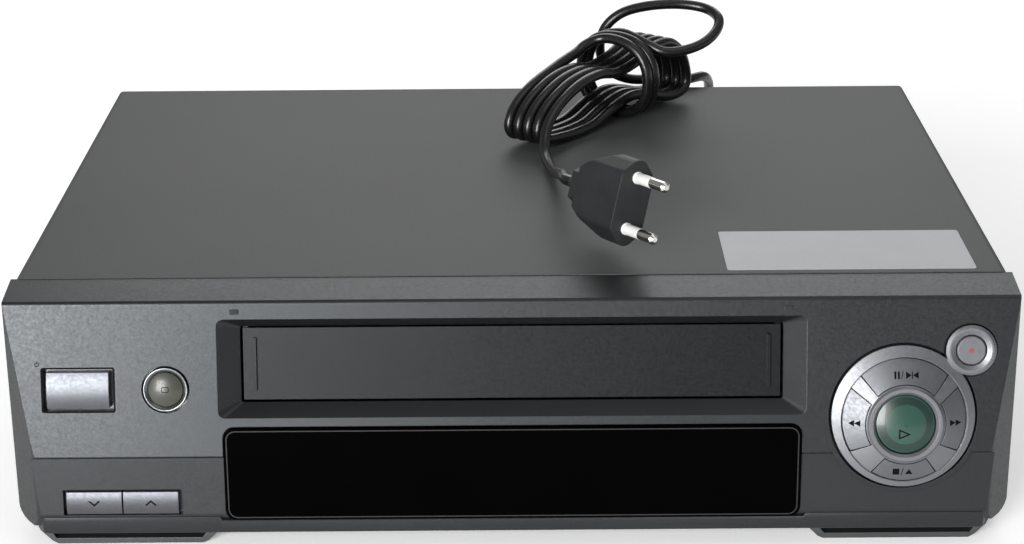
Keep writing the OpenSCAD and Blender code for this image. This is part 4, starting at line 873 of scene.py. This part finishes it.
@dataclass
class MainsCord:
    """The cord: a lead over the rear edge, two turns round a hank of four loops, and a tail to the plug."""

    plug_at: Point = (44.0, 34.8, 115.0)
    plug_turn: Point = (74.8, -71.8, 44.6)
    cord_in: float = 40.0
    hank_at: Flat = (38.0, 204.0)
    hank_turn: float = 52.0
    left: float = 50.0
    right: float = 53.0
    mid_z: float = 9.0
    loops: int = 4
    loop_step: float = DECK.cord_d + 0.6
    ring_step: float = DECK.cord_d + 0.8
    first_w: float = 10.0
    waist_u: float = 13.0
    waist_half: float = 34.0
    waist_top_in: float = 7.5
    waist_low_in: float = 8.0
    ring_w: float = 18.6
    ring_z: float = 16.6
    ring_at: Flat = (-0.8, 19.4)
    ring_turns: int = 2
    ring_from_u: float = 18.0
    off_r: float = 10.0
    off_drop: float = 5.0
    smooth: int = 6
    boot_l: float = 24.0
    boot_start: float = 2.6
    boot_sides: int = 20
    boot_r: Flat = (4.6, 2.75)
    boot_rib: float = 0.22
    pin_pitch: float = 19.0
    sleeve_r: float = 2.06
    sleeve_l: float = 10.0
    gland: Flat = (95.0, 32.0)
    reach: float = 8.0
    round_off: float = 0.88
    bevel_rings: int = 5
    lead: tuple[Point, ...] = (
        (95, 276, -62), (95, 283, -58), (94.5, 287, -50), (94, 288, -40), (93.5, 287, -26), (92.5, 283, -12),
        (91.5, 276, -2.5), (88, 267, 2.6), (80, 260, 3.2), (66, 257.5, 4), (53, 254, 5.5), (44, 248.5, 11.5),
        (40, 243, 22), (42, 239, 33), (49, 239, 39.5), (60, 240, 42.5), (76, 241, 43), (87, 238, 41.5),
        (91.5, 231, 39), (90, 223.5, 35.5), (84, 216.5, 32), (75, 211.5, 30), (66, 209.8, 30),
        (58.5, 212.4, 33),
    )
    tail: tuple[Point, ...] = (
        (15.6, 158, 13.5), (14, 153, 8.2), (14.2, 146, 4.2), (15.6, 136, 2.9), (17.4, 122, 4.6),
        (18.8, 108, 8.4), (19.6, 96, 12), (20, 85, 15.4),
    )
    points: list[Vector] = field(default_factory=list)

    def in_plug(self, v: Point) -> Vector:
        """A point of the plug's own frame, in millimetres."""
        x, y, z = self.plug_at
        return Vector((x, DECK.front_y + y, z)) + turn_by(self.plug_turn) @ Vector(v)

    def on_cover(self, spots: Sequence[Point]) -> list[Vector]:
        """Places given behind the front's edge and above the cover, in millimetres."""
        return [Vector((x, DECK.front_y + y, DECK.overall_h + z)) for x, y, z in spots]

    def in_hank(self, u: float, w: float, z: float) -> Vector:
        """Gives a point of the hank's own frame.

        Args:
            u: Place along the hank.
            w: Place across it.
            z: Height above the cover.

        Returns:
            The point in millimetres.
        """
        c, s = math.cos(math.radians(self.hank_turn)), math.sin(math.radians(self.hank_turn))
        x, y = self.hank_at
        return Vector((x + u * c - w * s, DECK.front_y + y + u * s + w * c, DECK.overall_h + z))

    def waist(self, u: float) -> float:
        """Tells how much the turns round the hank pull it in.

        Args:
            u: Place along the hank.

        Returns:
            A share from 0 to 1.
        """
        if abs(u - self.waist_u) >= self.waist_half:
            return 0.0
        return math.cos(math.pi / 2 * (u - self.waist_u) / self.waist_half) ** 2

    def top_u(self, a: float) -> float:
        """Place along the hank of a loop at angle a."""
        c = math.cos(math.radians(a))
        return (self.left if c < 0 else self.right) * c

    def top_z(self, a: float) -> float:
        """Gives the height of a loop's upper run.

        Args:
            a: Angle round the loop in degrees.

        Returns:
            Height above the cover.
        """
        u, c = self.top_u(a), math.cos(math.radians(a))
        arch = math.sqrt(max(0.0, 1 - abs(c) ** (2 if c < 0 else 2.7)))
        return self.mid_z + (19 + 9 * ease((u + 10) / 40)) * arch - self.waist_top_in * self.waist(u)

    def low_z(self, a: float) -> float:
        """Gives the height of a loop's lower run.

        Args:
            a: Angle round the loop in degrees.

        Returns:
            Height above the cover.
        """
        c = math.cos(math.radians(a))
        sag = max(0.0, 1 - abs(c) ** 3.3) ** 0.3
        return self.mid_z - 6.6 * sag + self.waist_low_in * self.waist(self.top_u(a))

    def squared(self, v: float) -> float:
        """Swells a circle's coordinate towards a square."""
        return math.copysign(abs(v) ** self.round_off, v)

    def ring(self) -> list[Vector]:
        """Draws the turns round the waist and the way off them.

        Returns:
            Their points in millimetres.
        """
        w0, z0 = self.ring_at
        out = []
        for i in range(24 * self.ring_turns + 1):
            a = math.radians(90 - 15 * i)
            w = w0 + self.ring_w * self.squared(math.cos(a))
            z = z0 + self.ring_z * self.squared(math.sin(a))
            out.append(self.in_hank(self.ring_from_u - self.ring_step * i / 24, w, z))
        off_u = self.ring_from_u - self.ring_step * self.ring_turns
        off_z = z0 + self.ring_z - self.off_drop
        for k in range(1, 5):
            a = math.radians(22.5 * k)
            out.append(self.in_hank(off_u - self.off_r * (1 - math.cos(a)), w0 + self.off_r * math.sin(a),
                                    off_z + self.off_drop * math.cos(a)))
        u1, w1 = off_u - self.off_r, w0 + self.off_r
        for t in (0.25, 0.5, 0.75):
            out.append(self.in_hank(u1 + (self.top_u(125) - u1) * t, w1 + (self.first_w - w1) * ease(2 * t),
                                    off_z + (self.top_z(125) - off_z) * t))
        return out

    def upper_run(self, k: int, angles: Iterable[float]) -> list[Vector]:
        """Draws the upper run of loop k through the given angles in degrees."""
        w = self.first_w - self.loop_step * k
        return [self.in_hank(self.top_u(a), w, self.top_z(a)) for a in angles]

    def hank(self) -> list[Vector]:
        """Draws the loops that the ring ties.

        Returns:
            Their points in millimetres.
        """
        out = self.upper_run(0, (125, 135, 150, 165, 180))
        for k in range(self.loops):
            for a in range(195, 346, 15):
                w = self.first_w - self.loop_step * (k + ease((a - 180) / 180))
                out.append(self.in_hank(self.top_u(a), w, self.low_z(a)))
            last = 150 if k == self.loops - 1 else 180
            out += self.upper_run(k + 1, range(0, last + 1, 15))
        return out

    def route(self) -> list[Vector]:
        """Draws the whole route, from the gland to the plug.

        Returns:
            Its points in millimetres.
        """
        exit_at = Vector((self.gland[0], DECK.rear_y + self.reach, self.gland[1]))
        tied = [*self.on_cover(self.lead), *self.ring(), *self.hank(), *self.on_cover(self.tail)]
        return [exit_at, *tied, self.in_plug((0, 0, -self.cord_in - 6)), self.in_plug((0, 0, -self.cord_in))]

    def smoothed(self, route: Sequence[Vector]) -> list[Vector]:
        """Draws one smooth line through a route.

        Args:
            route: The points that it passes.

        Returns:
            The points of the smooth line.
        """
        out = []
        padded = [route[0] * 2 - route[1], *route, route[-1] * 2 - route[-2]]
        for p0, p1, p2, p3 in zip(padded, padded[1:], padded[2:], padded[3:]):
            t1 = (p1 - p0).length ** 0.5
            t2 = t1 + (p2 - p1).length ** 0.5
            t3 = t2 + (p3 - p2).length ** 0.5
            for k in range(self.smooth):
                t = t1 + (t2 - t1) * k / self.smooth
                a1 = p0 * ((t1 - t) / t1) + p1 * (t / t1)
                a2 = p1 * ((t2 - t) / (t2 - t1)) + p2 * ((t - t1) / (t2 - t1))
                a3 = p2 * ((t3 - t) / (t3 - t2)) + p3 * ((t - t2) / (t3 - t2))
                b1 = a1 * ((t2 - t) / t2) + a2 * (t / t2)
                b2 = a2 * ((t3 - t) / (t3 - t1)) + a3 * ((t - t1) / (t3 - t1))
                out.append(b1 * ((t2 - t) / (t2 - t1)) + b2 * ((t - t1) / (t2 - t1)))
        return out + [route[-1]]

    def curve(self) -> bpy.types.Object:
        """Makes the cord as one curve.

        Returns:
            The cord.
        """
        data = bpy.data.curves.new("mains_cord", "CURVE")
        data.dimensions = "3D"
        data.bevel_depth = DECK.cord_d / 2 * MM
        data.bevel_resolution = self.bevel_rings
        data.use_fill_caps = True
        spline = data.splines.new("POLY")
        spline.points.add(len(self.points) - 1)
        for spot, p in zip(spline.points, self.points):
            spot.co = (*(p * MM), 1.0)
        spline.use_smooth = True
        data.materials.append(Palette.CORD.build())
        return in_scene("mains_cord", data)

    def boot(self) -> bpy.types.Object:
        """Makes the ribbed, tapered strain relief that follows the cord out of the gland.

        Returns:
            The strain relief.
        """
        shape = bmesh.new()
        start = Vector((self.gland[0], DECK.rear_y + self.boot_start, self.gland[1]))
        line = [start.lerp(self.points[0], k / 4) for k in range(4)]
        line += self.points
        spots, run = [(line[0], 0.0)], 0.0
        for p, q in zip(line, line[1:]):
            run += (q - p).length
            if run > self.boot_l:
                break
            spots.append((q, run))
        rings = []
        wide, narrow = self.boot_r
        for i, (p, run) in enumerate(spots):
            ahead = (spots[min(i + 1, len(spots) - 1)][0] - spots[max(i - 1, 0)][0]).normalized()
            across = Vector((1, 0, 0))
            above = ahead.cross(across).normalized()
            r = wide - (wide - narrow) * run / self.boot_l + (self.boot_rib if i % 2 else 0.0)
            rings.append([shape.verts.new(p + c * across + s * above) for c, s in circle(r, self.boot_sides)])
        skin(shape, rings)
        shape.faces.new(rings[0][::-1])
        shape.faces.new(rings[-1])
        return from_shape("strain_relief", shape, Palette.PLUG)

    def sleeves(self) -> list[bpy.types.Object]:
        """Makes the pale insulating sleeve at the foot of each pin.

        Returns:
            The two sleeves.
        """
        spot = Matrix.Translation(self.in_plug((0, 0, 0)) * MM) @ turn_by(self.plug_turn).to_4x4()
        r, end = self.sleeve_r, self.sleeve_l
        profile = [(0, 0.02), (2.3, 0.02), (2.3, 0.6), (r, 0.9), (r, end - 0.2), (r - 0.16, end), (0, end)]
        out = []
        for side, label in ((-1, "left"), (1, "right")):
            at = spot @ Matrix.Translation((side * self.pin_pitch / 2 * MM, 0, 0))
            out.append(lathe(f"pin_sleeve_{label}", profile, Palette.SLEEVE, at, 40))
        return out

    def build(self) -> None:
        self.points = self.smoothed(self.route())
        cord = self.curve()
        boot = finished(self.boot(), "case")
        finished(cord, "case", "cord_lead", "cord_hank", "cord_tail")
        plug = [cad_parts["plug_body"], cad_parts["plug_pins"]]
        plug += [finished(piece, "case") for piece in self.sleeves()]


# The CAD nodes' finishes


class Dressing:
    """Gives every carried-over CAD node its finish."""

    FINISHES: dict[str, Finish] = {
        "front_panel": Palette.FRONT, "display_window": Palette.WINDOW, "control_bezel": Palette.BEZEL,
        "top_cover": Palette.COVER, "bottom_pan": Palette.ZINC, "rear_panel": Palette.ZINC,
        "foot_front_left": Palette.FOOT, "foot_front_right": Palette.FOOT, "rear_feet": Palette.RUBBER,
        "case_screws": Palette.DARK_STEEL, "scart_sockets": Palette.BLACK, "tuner": Palette.TIN,
        "audio_jacks": Palette.BLACK, "cord_gland": Palette.PLUG, "main_board": Palette.BOARD,
        "board_parts": Palette.BLACK, "front_board": Palette.BOARD, "display_tube": Palette.TUBE,
        "key_switches": Palette.BLACK, "power_board": Palette.BOARD_TAN, "power_transformer": Palette.IRON,
        "door": Palette.DOOR, "mech_chassis": Palette.ZINC, "loader_side_left": Palette.ZINC,
        "loader_side_right": Palette.ZINC, "loader_slider": Palette.BLACK, "cassette_holder": Palette.ZINC,
        "rack_pinion": Palette.WHITE, "supply_reel": Palette.WHITE, "takeup_reel": Palette.WHITE,
        "idler_arm": Palette.STEEL, "idler_wheel": Palette.DRIVE, "drum_base": Palette.ALUMINIUM,
        "drum_rotor": Palette.ALUMINIUM, "tape_heads": Palette.STEEL, "capstan": Palette.STEEL,
        "capstan_motor": Palette.BOARD, "pinch_arm": Palette.STEEL, "pinch_roller": Palette.DRIVE,
        "guide_left": Palette.STEEL, "guide_right": Palette.STEEL, "cam_gear": Palette.WHITE,
        "drive_pinion": Palette.BLACK, "loading_motor": Palette.TIN, "power_button": Palette.BARREL,
        "one_touch_button": Palette.OLIVE, "channel_down_button": Palette.BARREL,
        "channel_up_button": Palette.BARREL, "pause_button": Palette.BUTTON, "rewind_button": Palette.BUTTON,
        "forward_button": Palette.BUTTON, "stop_button": Palette.BUTTON, "play_button": Palette.GREEN,
        "record_button": Palette.BEZEL, "plug_body": Palette.PLUG, "plug_pins": Palette.NICKEL,
    }

    def build(self) -> None:
        """Dresses each node."""
        for name, finish in self.FINISHES.items():
            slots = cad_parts[name].data.materials
            slots.clear()
            slots.append(finish.build())
        log.info("%d nodes are dressed", len(self.FINISHES))


# Controls


@dataclass
class KeyMarks:
    """The plain symbols printed on the keys."""

    play_at: Flat = (139.4, 45.4)
    record_at: Flat = (162.5, 19.2)
    hub_r: float = 13.9
    cone_top: float = 2.9
    cone_fall: float = 0.3143
    play_top: float = 3.6
    play_round: float = 34.0
    record_top: float = 1.18
    barrel_top: float = 0.9
    barrel_round: float = 18.0
    channel_at: Flat = (-139.9, 19.1)
    channel_w: float = 19.8
    standby_at: Flat = (-168.2, 22.0)

    def arrow(self, w: float, h: float, way: int) -> list[list[Flat]]:
        """A filled arrow head, centred, that points left or right."""
        return polygon((-w / 2 * way, h / 2), (-w / 2 * way, -h / 2), (w / 2 * way, 0))

    def arrows(self, way: int) -> list[list[list[Flat]]]:
        """Two arrow heads in a row."""
        head = self.arrow(2.1, 2.3, way)
        return [head, shifted(head, 2.1, 0)]

    def bar(self, w: float, h: float) -> list[list[Flat]]:
        """A filled upright bar."""
        return polygon((-w / 2, -h / 2), (w / 2, -h / 2), (w / 2, h / 2), (-w / 2, h / 2))

    def slash(self) -> list[list[Flat]]:
        """A thin slanting line between two symbols."""
        return polygon((-0.45, -1.35), (-0.2, -1.35), (0.45, 1.35), (0.2, 1.35))

    def ring_marks(self) -> dict[str, list[list[list[Flat]]]]:
        """Draws the marks of the four ring keys.

        Returns:
            The marks of each key, by body.
        """
        bar, step_bar = self.bar(0.7, 2.55), self.bar(0.35, 2.45)
        ahead, back = self.arrow(2.0, 2.45, 1), self.arrow(2.0, 2.45, -1)
        pause = ((bar, -3.85), (bar, -2.6), (self.slash(), -1.4), (ahead, 0.9), (step_bar, 2.15), (back, 3.4))
        eject = polygon((-1.35, -0.95), (1.35, -0.95), (0, 0.95))
        stop = ((self.bar(2.3, 2.3), -3.1), (self.slash(), -0.9), (eject, 1.5))
        return {
            "pause_key": [shifted(mark, x, 17.6) for mark, x in pause],
            "rewind_key": [shifted(mark, -19.25, 0.4) for mark in self.arrows(-1)],
            "forward_key": [shifted(mark, 16.75, 0.4) for mark in self.arrows(1)],
            "stop_key": [shifted(mark, x, -17.2) for mark, x in stop],
        }

    def on_cone(self, x: float, y: float) -> float:
        """Height of the ring keys' sloping faces."""
        return self.cone_top - (math.hypot(x, y) - self.hub_r) * self.cone_fall

    def on_play(self, x: float, y: float) -> float:
        """Height of the play key's dome."""
        return self.play_top - self.play_round + math.sqrt(self.play_round ** 2 - x * x - y * y)

    def on_record(self, x: float, y: float) -> float:
        """Height of the record key's flat face."""
        return self.record_top

    def on_barrel(self, x: float, y: float) -> float:
        """Height of a channel key's rounded face."""
        return self.barrel_top - self.barrel_round + math.sqrt(self.barrel_round ** 2 - y * y)

    def play_key(self, dial: Matrix) -> None:
        """Lays the darker rim and the outlined arrow on the play key.

        Args:
            dial: The middle of the round control.
        """
        upper = [(r, self.on_play(r, 0) + 0.05) for r in (7.2, 7.9, 8.6, 9.2, 9.8)]
        lower = [(r, self.on_play(r, 0) - 0.1) for r in (9.8, 7.2)]
        finished(lathe("play_key_rim", [*upper, *lower, upper[0]], Palette.GREEN_DEEP, dial), "play_key")
        outline = [[(-2.5, -1.5), (-2.5, -5.3), (1.8, -3.4)], [(-2.0, -2.25), (-2.0, -4.55), (0.6, -3.4)]]
        Print(dial, Palette.INK, self.on_play, thick=0.08).make("play_key_mark", [outline], "play_key")

    def channel_keys(self) -> None:
        """Prints an arrow head on each channel key."""
        x, z = self.channel_at
        for up, body in ((-1, "channel_down_key"), (1, "channel_up_key")):
            spot = place(Face.LOWER, x + up * (self.channel_w + 0.5) / 2, z)
            head = polygon((-2.1, -0.75 * up), (-1.6, -1.05 * up), (0, 0.35 * up), (1.6, -1.05 * up),
                           (2.1, -0.75 * up), (0, 1.15 * up))
            Print(spot, Palette.INK, self.on_barrel).make(f"{body}_mark", [head], body)

    def standby(self) -> None:
        """Prints the open ring and bar beside the power key."""
        turns = [math.radians(115 + 310 * k / 24) for k in range(25)]
        outer, inner = ([(r * math.cos(a), r * math.sin(a)) for a in turns] for r in (0.85, 0.6))
        arc = outer + inner[::-1]
        Print(place(Face.UPPER, *self.standby_at), Palette.INK).make(
            "standby_mark", [[arc], shifted(self.bar(0.25, 0.9), 0, 0.65)], "case")

    def build(self) -> None:
        """Prints every mark."""
        dial = place(Face.UPPER, *self.play_at)
        for body, marks in self.ring_marks().items():
            Print(dial, Palette.INK, self.on_cone).make(f"{body}_mark", marks, body)
        self.play_key(dial)
        Print(place(Face.UPPER, *self.record_at), Palette.RED, self.on_record).make(
            "record_key_mark", [disc_of(0.9)], "record_key")
        self.channel_keys()
        self.standby()


@dataclass
class OneTouchKey:
    """The round key left of the cassette slot: a bright dished ring round a smoked dome."""

    at: Flat = (-122.9, 31.4)
    dome_top: float = 1.4
    dome_round: float = 14.0
    dome_r: float = 6.1
    body: str = "one_touch_key"

    def dome(self, x: float, y: float) -> float:
        """Height of the dome."""
        return self.dome_top - self.dome_round + math.sqrt(self.dome_round ** 2 - x * x - y * y)

    def build(self) -> None:
        """Turns the ring and the dome and prints the small mark."""
        spot = place(Face.UPPER, *self.at)
        ring = [(0, -9.2), (1.8, -9.2), (1.8, -5.2), (9.8, -5.2), (9.8, -3.8), (8, -3.8), (8, 0.3),
                (7.9, 0.5), (7.7, 0.6), (7.4, 0.6), (7.2, 0.5), (6.2, -0.32), (6.1, -0.4), (0, -0.4)]
        finished(lathe("one_touch_ring", ring, Palette.CHROME, spot), self.body, "one_touch_button")
        dome = [(0, -0.5), (self.dome_r, -0.5)]
        dome += [(self.dome_r * k / 12, self.dome(self.dome_r * k / 12, 0)) for k in range(12, -1, -1)]
        finished(lathe("one_touch_dome", dome, Palette.OLIVE, spot), self.body)
        frame_mark = [round_box(2.6, 2.0, 0.5), round_box(2.1, 1.5, 0.3)]
        Print(spot, Palette.INK, self.dome).make("one_touch_mark", [shifted(frame_mark, 0, 0.2)], self.body)


@dataclass
class FrontTrim:
    """The fine lines of the front: a painted highlight along the window's bevelled edge and a painted shade
    line round the power key's recess.
    """

    window: Flat = (206.0, 35.0)
    window_mid: float = 29.7
    window_out: float = 11.0
    window_lean: float = 2.2
    power_at: Flat = (-153.9, 31.4)
    power: Flat = (22.1, 12.9)
    thick: float = 0.03

    def build(self) -> None:
        """Lays each line on its face."""
        w, h = self.window
        turn = Matrix.Rotation(math.pi / 2 - math.atan2(self.window_lean, h), 4, "X")
        mid = Vector((0, DECK.front_y - self.window_out - self.window_lean / 2, self.window_mid)) * MM
        # A thin lighter line round the window: painted highlight of its bevelled edge.
        line = [round_box(w - 1.9, h - 1.7, 3.4), round_box(w - 2.7, h - 2.5, 3.0)]
        edge = Print(Matrix.Translation(mid) @ turn, Palette.WINDOW_BEVEL_HIGHLIGHT, thick=self.thick)
        edge.make("window_edge_line", [line], "case")
        w, h = self.power
        # A black line at the edge of the power key's recess: painted shade of the gap round the key.
        power_shade_outline = [round_box(w + 4.2, h + 3.5, 1.0), round_box(w + 3.0, h + 2.3, 0.6)]
        power_shade_print = Print(place(Face.UPPER, *self.power_at), Palette.INK, thick=self.thick)
        power_shade_print.make("power_key_frame", [power_shade_outline], "case")


@dataclass
class LowerEdge:
    """The rounded strip along the front's lower edge and the two feet, whose recesses are dark with painted
    shade.
    """

    half: float = 168.6
    window_half: float = 104.4
    face_y: float = -137.56
    top_z: float = 11.9
    side_z: float = 13.3
    low_z: float = 6.9
    foot_ends: Flat = (173.0, 103.0)
    lip_z: float = 2.1
    rim_back: float = -0.6
    rim_d: float = 5.8
    block_back: float = 16.0
    block_d: float = 16.6

    def strip(self) -> None:
        """Sweeps the strip's profile from side to side: lower below the window, drawn in at both ends."""
        y, z0 = self.face_y, self.low_z
        shape = bmesh.new()
        rings = []
        ends = ((1.8, 3.0), (1.1, 1.2), (0.5, 0.4), (0, 0.1), (-1.0, 0.0))
        spots = [(-self.half - past, draw, self.side_z) for past, draw in ends]
        spots += [(-self.window_half - 0.8, 0.0, self.side_z), (-self.window_half, 0.0, self.top_z)]
        spots += [(-x, draw, z1) for x, draw, z1 in reversed(spots)]
        for x, draw, z1 in spots:
            profile = [(y + 0.9, z1 + 0.3), (y + 0.16, z1), (y + 0.04, z1 - 0.6), (y, z1 - 1.4),
                       (y, z0 + 1.0), (y + 0.12, z0 + 0.5), (y + 0.45, z0 + 0.12), (y + 1.0, z0),
                       (y + 7, z0), (y + 7, z1)]
            rings.append([shape.verts.new((x, py + draw * (py < y + 2), pz + 0.4 * draw * (pz < z0 + 2)))
                          for py, pz in profile])
        skin(shape, rings)
        shape.faces.new(rings[0])
        shape.faces.new(rings[-1][::-1])
        finished(from_shape("front_lower_edge", shape, Palette.FRONT), "case")

    def foot(self, side: int, label: str) -> None:
        """Makes one foot: a block whose black front is painted shade in the recess, and a rim that stands out
        round it.

        Args:
            side: -1 for the left foot and 1 for the right one.
            label: The foot's name.
        """
        a, b = self.foot_ends
        top = DECK.foot_h
        outer = [(a, top), (a - 1.5, 5.3), (a - 5.5, 1.2), (a - 7.6, 0.0), (b + 9.6, 0.0), (b + 7.6, 1.0),
                 (b, top)]
        inner = [(a - 3.6, 8.0), (a - 7.0, self.lip_z), (b + 10.0, self.lip_z), (b + 5.4, 8.0)]
        flat = Matrix.Rotation(math.pi / 2, 4, "X")
        loops = [[(side * x, z) for x, z in loop] for loop in (outer, inner)]
        front = Matrix.Translation((0, (DECK.front_y + self.rim_back) * MM, 0)) @ flat
        Print(front, Palette.FOOT, thick=self.rim_d).make(f"foot_rim_{label}", [loops], "case")
        # The black block behind the rim paints the shade in the recess above the foot's lip.
        back = Matrix.Translation((0, (DECK.front_y + self.block_back) * MM, 0)) @ flat
        shape = bmesh.new()
        Print(back, Palette.RUBBER, thick=self.block_d).add(shape, loops[:1])
        block = from_shape(f"foot_block_{label}", shape, Palette.RUBBER, back, smooth=False)
        finished(block, "case", f"foot_front_{label}")

    def build(self) -> None:
        """Makes the strip and both feet."""
        self.strip()
        for side, label in ((-1, "left"), (1, "right")):
            self.foot(side, label)


@dataclass
class RearTrim:
    """The sockets' metal and colours, and the pressed rims of the side vents."""

    jacks: Flat = (-77.0, -63.0)
    socket_z: float = 30.7
    scart: Flat = (-20.0, 42.0)
    contact: Point = (0.5, 3.0, 2.2)
    contacts_in_row: int = 10
    contact_pitch: float = 3.81
    contact_first: float = 18.0
    row_half: float = 1.9
    vents: int = 10
    vent_pitch: float = 7.0
    vent_first: float = 86.5
    vent_up: float = 21.0

    def jack_pieces(self) -> None:
        """Gives each jack its bright sleeve and its colour ring."""
        for x, finish, label in zip(self.jacks, (Palette.RED_PLASTIC, Palette.WHITE), ("right", "left")):
            spot = place(Face.REAR, x, self.socket_z)
            tube = [(1.75, 0.9), (4.2, 0.9), (4.2, 7.3), (4.0, 7.5), (1.95, 7.5), (1.75, 7.3), (1.75, 0.9)]
            finished(lathe(f"jack_sleeve_{label}", tube, Palette.TIN, spot, 48), "case")
            Print(place(Face.REAR, x, self.socket_z, 0.4), finish, thick=0.5).make(
                f"jack_ring_{label}", [ring_of(4.9, 1.3, 48)], "case")

    def contacts(self) -> None:
        """Sets the rows of gilt contacts in both sockets."""
        for x, label in zip(self.scart, ("inner", "outer")):
            for row, name in ((-1, "low"), (1, "high")):
                shape = bmesh.new()
                bmesh.ops.create_cube(shape, size=1.0, matrix=Matrix.Diagonal((*self.contact, 1.0)))
                bmesh.ops.bevel(shape, geom=shape.edges[:], offset=0.12, segments=2, affect="EDGES")
                blade = from_shape("blade", shape, Palette.GOLD)
                first = x + self.contact_first - (self.row_half if row > 0 else 0)
                start = (first, DECK.rear_y + 1.1, self.socket_z + row * self.row_half)
                contacts = Row(f"socket_contacts_{label}_{name}", self.contacts_in_row, start,
                               (-self.contact_pitch, 0, 0), Palette.GOLD, "case")
                contacts.bake(blade)

    def rims(self) -> None:
        """Presses a rim round each slot of the side vents."""
        for side, label in ((-1, "left"), (1, "right")):
            shape = bmesh.new()
            Print(Matrix.Identity(4), Palette.COVER, thick=0.18).add(
                shape, [round_box(4.0, 15.0, 0.9), round_box(3.1, 14.1, 0.3)])
            turn = Matrix.Rotation(side * math.pi / 2, 4, "Z") @ Matrix.Rotation(math.pi / 2, 4, "X")
            rim = from_shape("rim", shape, Palette.COVER, turn, smooth=False)
            start = (side * DECK.cover_w / 2, DECK.rear_y - self.vent_first, DECK.foot_h + self.vent_up)
            step = (0, self.vent_pitch, 0)
            Row(f"vent_rims_{label}", self.vents, start, step, Palette.COVER, "case").bake(rim)

    def build(self) -> None:
        """Makes all of it."""
        self.jack_pieces()
        self.contacts()
        self.rims()


@dataclass
class CoverLabel:
    """The blank label on the cover."""

    x0: float = 78.0
    x1: float = 168.0
    y0: float = 21.0
    y1: float = 62.0
    thick: float = 0.15

    def build(self) -> None:
        """Lays the label on the cover."""
        w, d = self.x1 - self.x0, self.y1 - self.y0
        spot = place(Face.COVER, (self.x0 + self.x1) / 2, (self.y0 + self.y1) / 2)
        Print(spot, Palette.LABEL, thick=self.thick).make("cover_label", [[round_box(w, d, 1.2)]], "case")


def main() -> None:
    """Builds the scene, piece by piece."""
    logging.basicConfig(level=logging.INFO, format="%(name)s: %(message)s")
    for part in (Studio(), MainsCord(), Dressing(), CoverLabel(), KeyMarks(), OneTouchKey(), FrontTrim(),
                 LowerEdge(), RearTrim()):
        part.build()


if __name__ == "__main__":
    main()
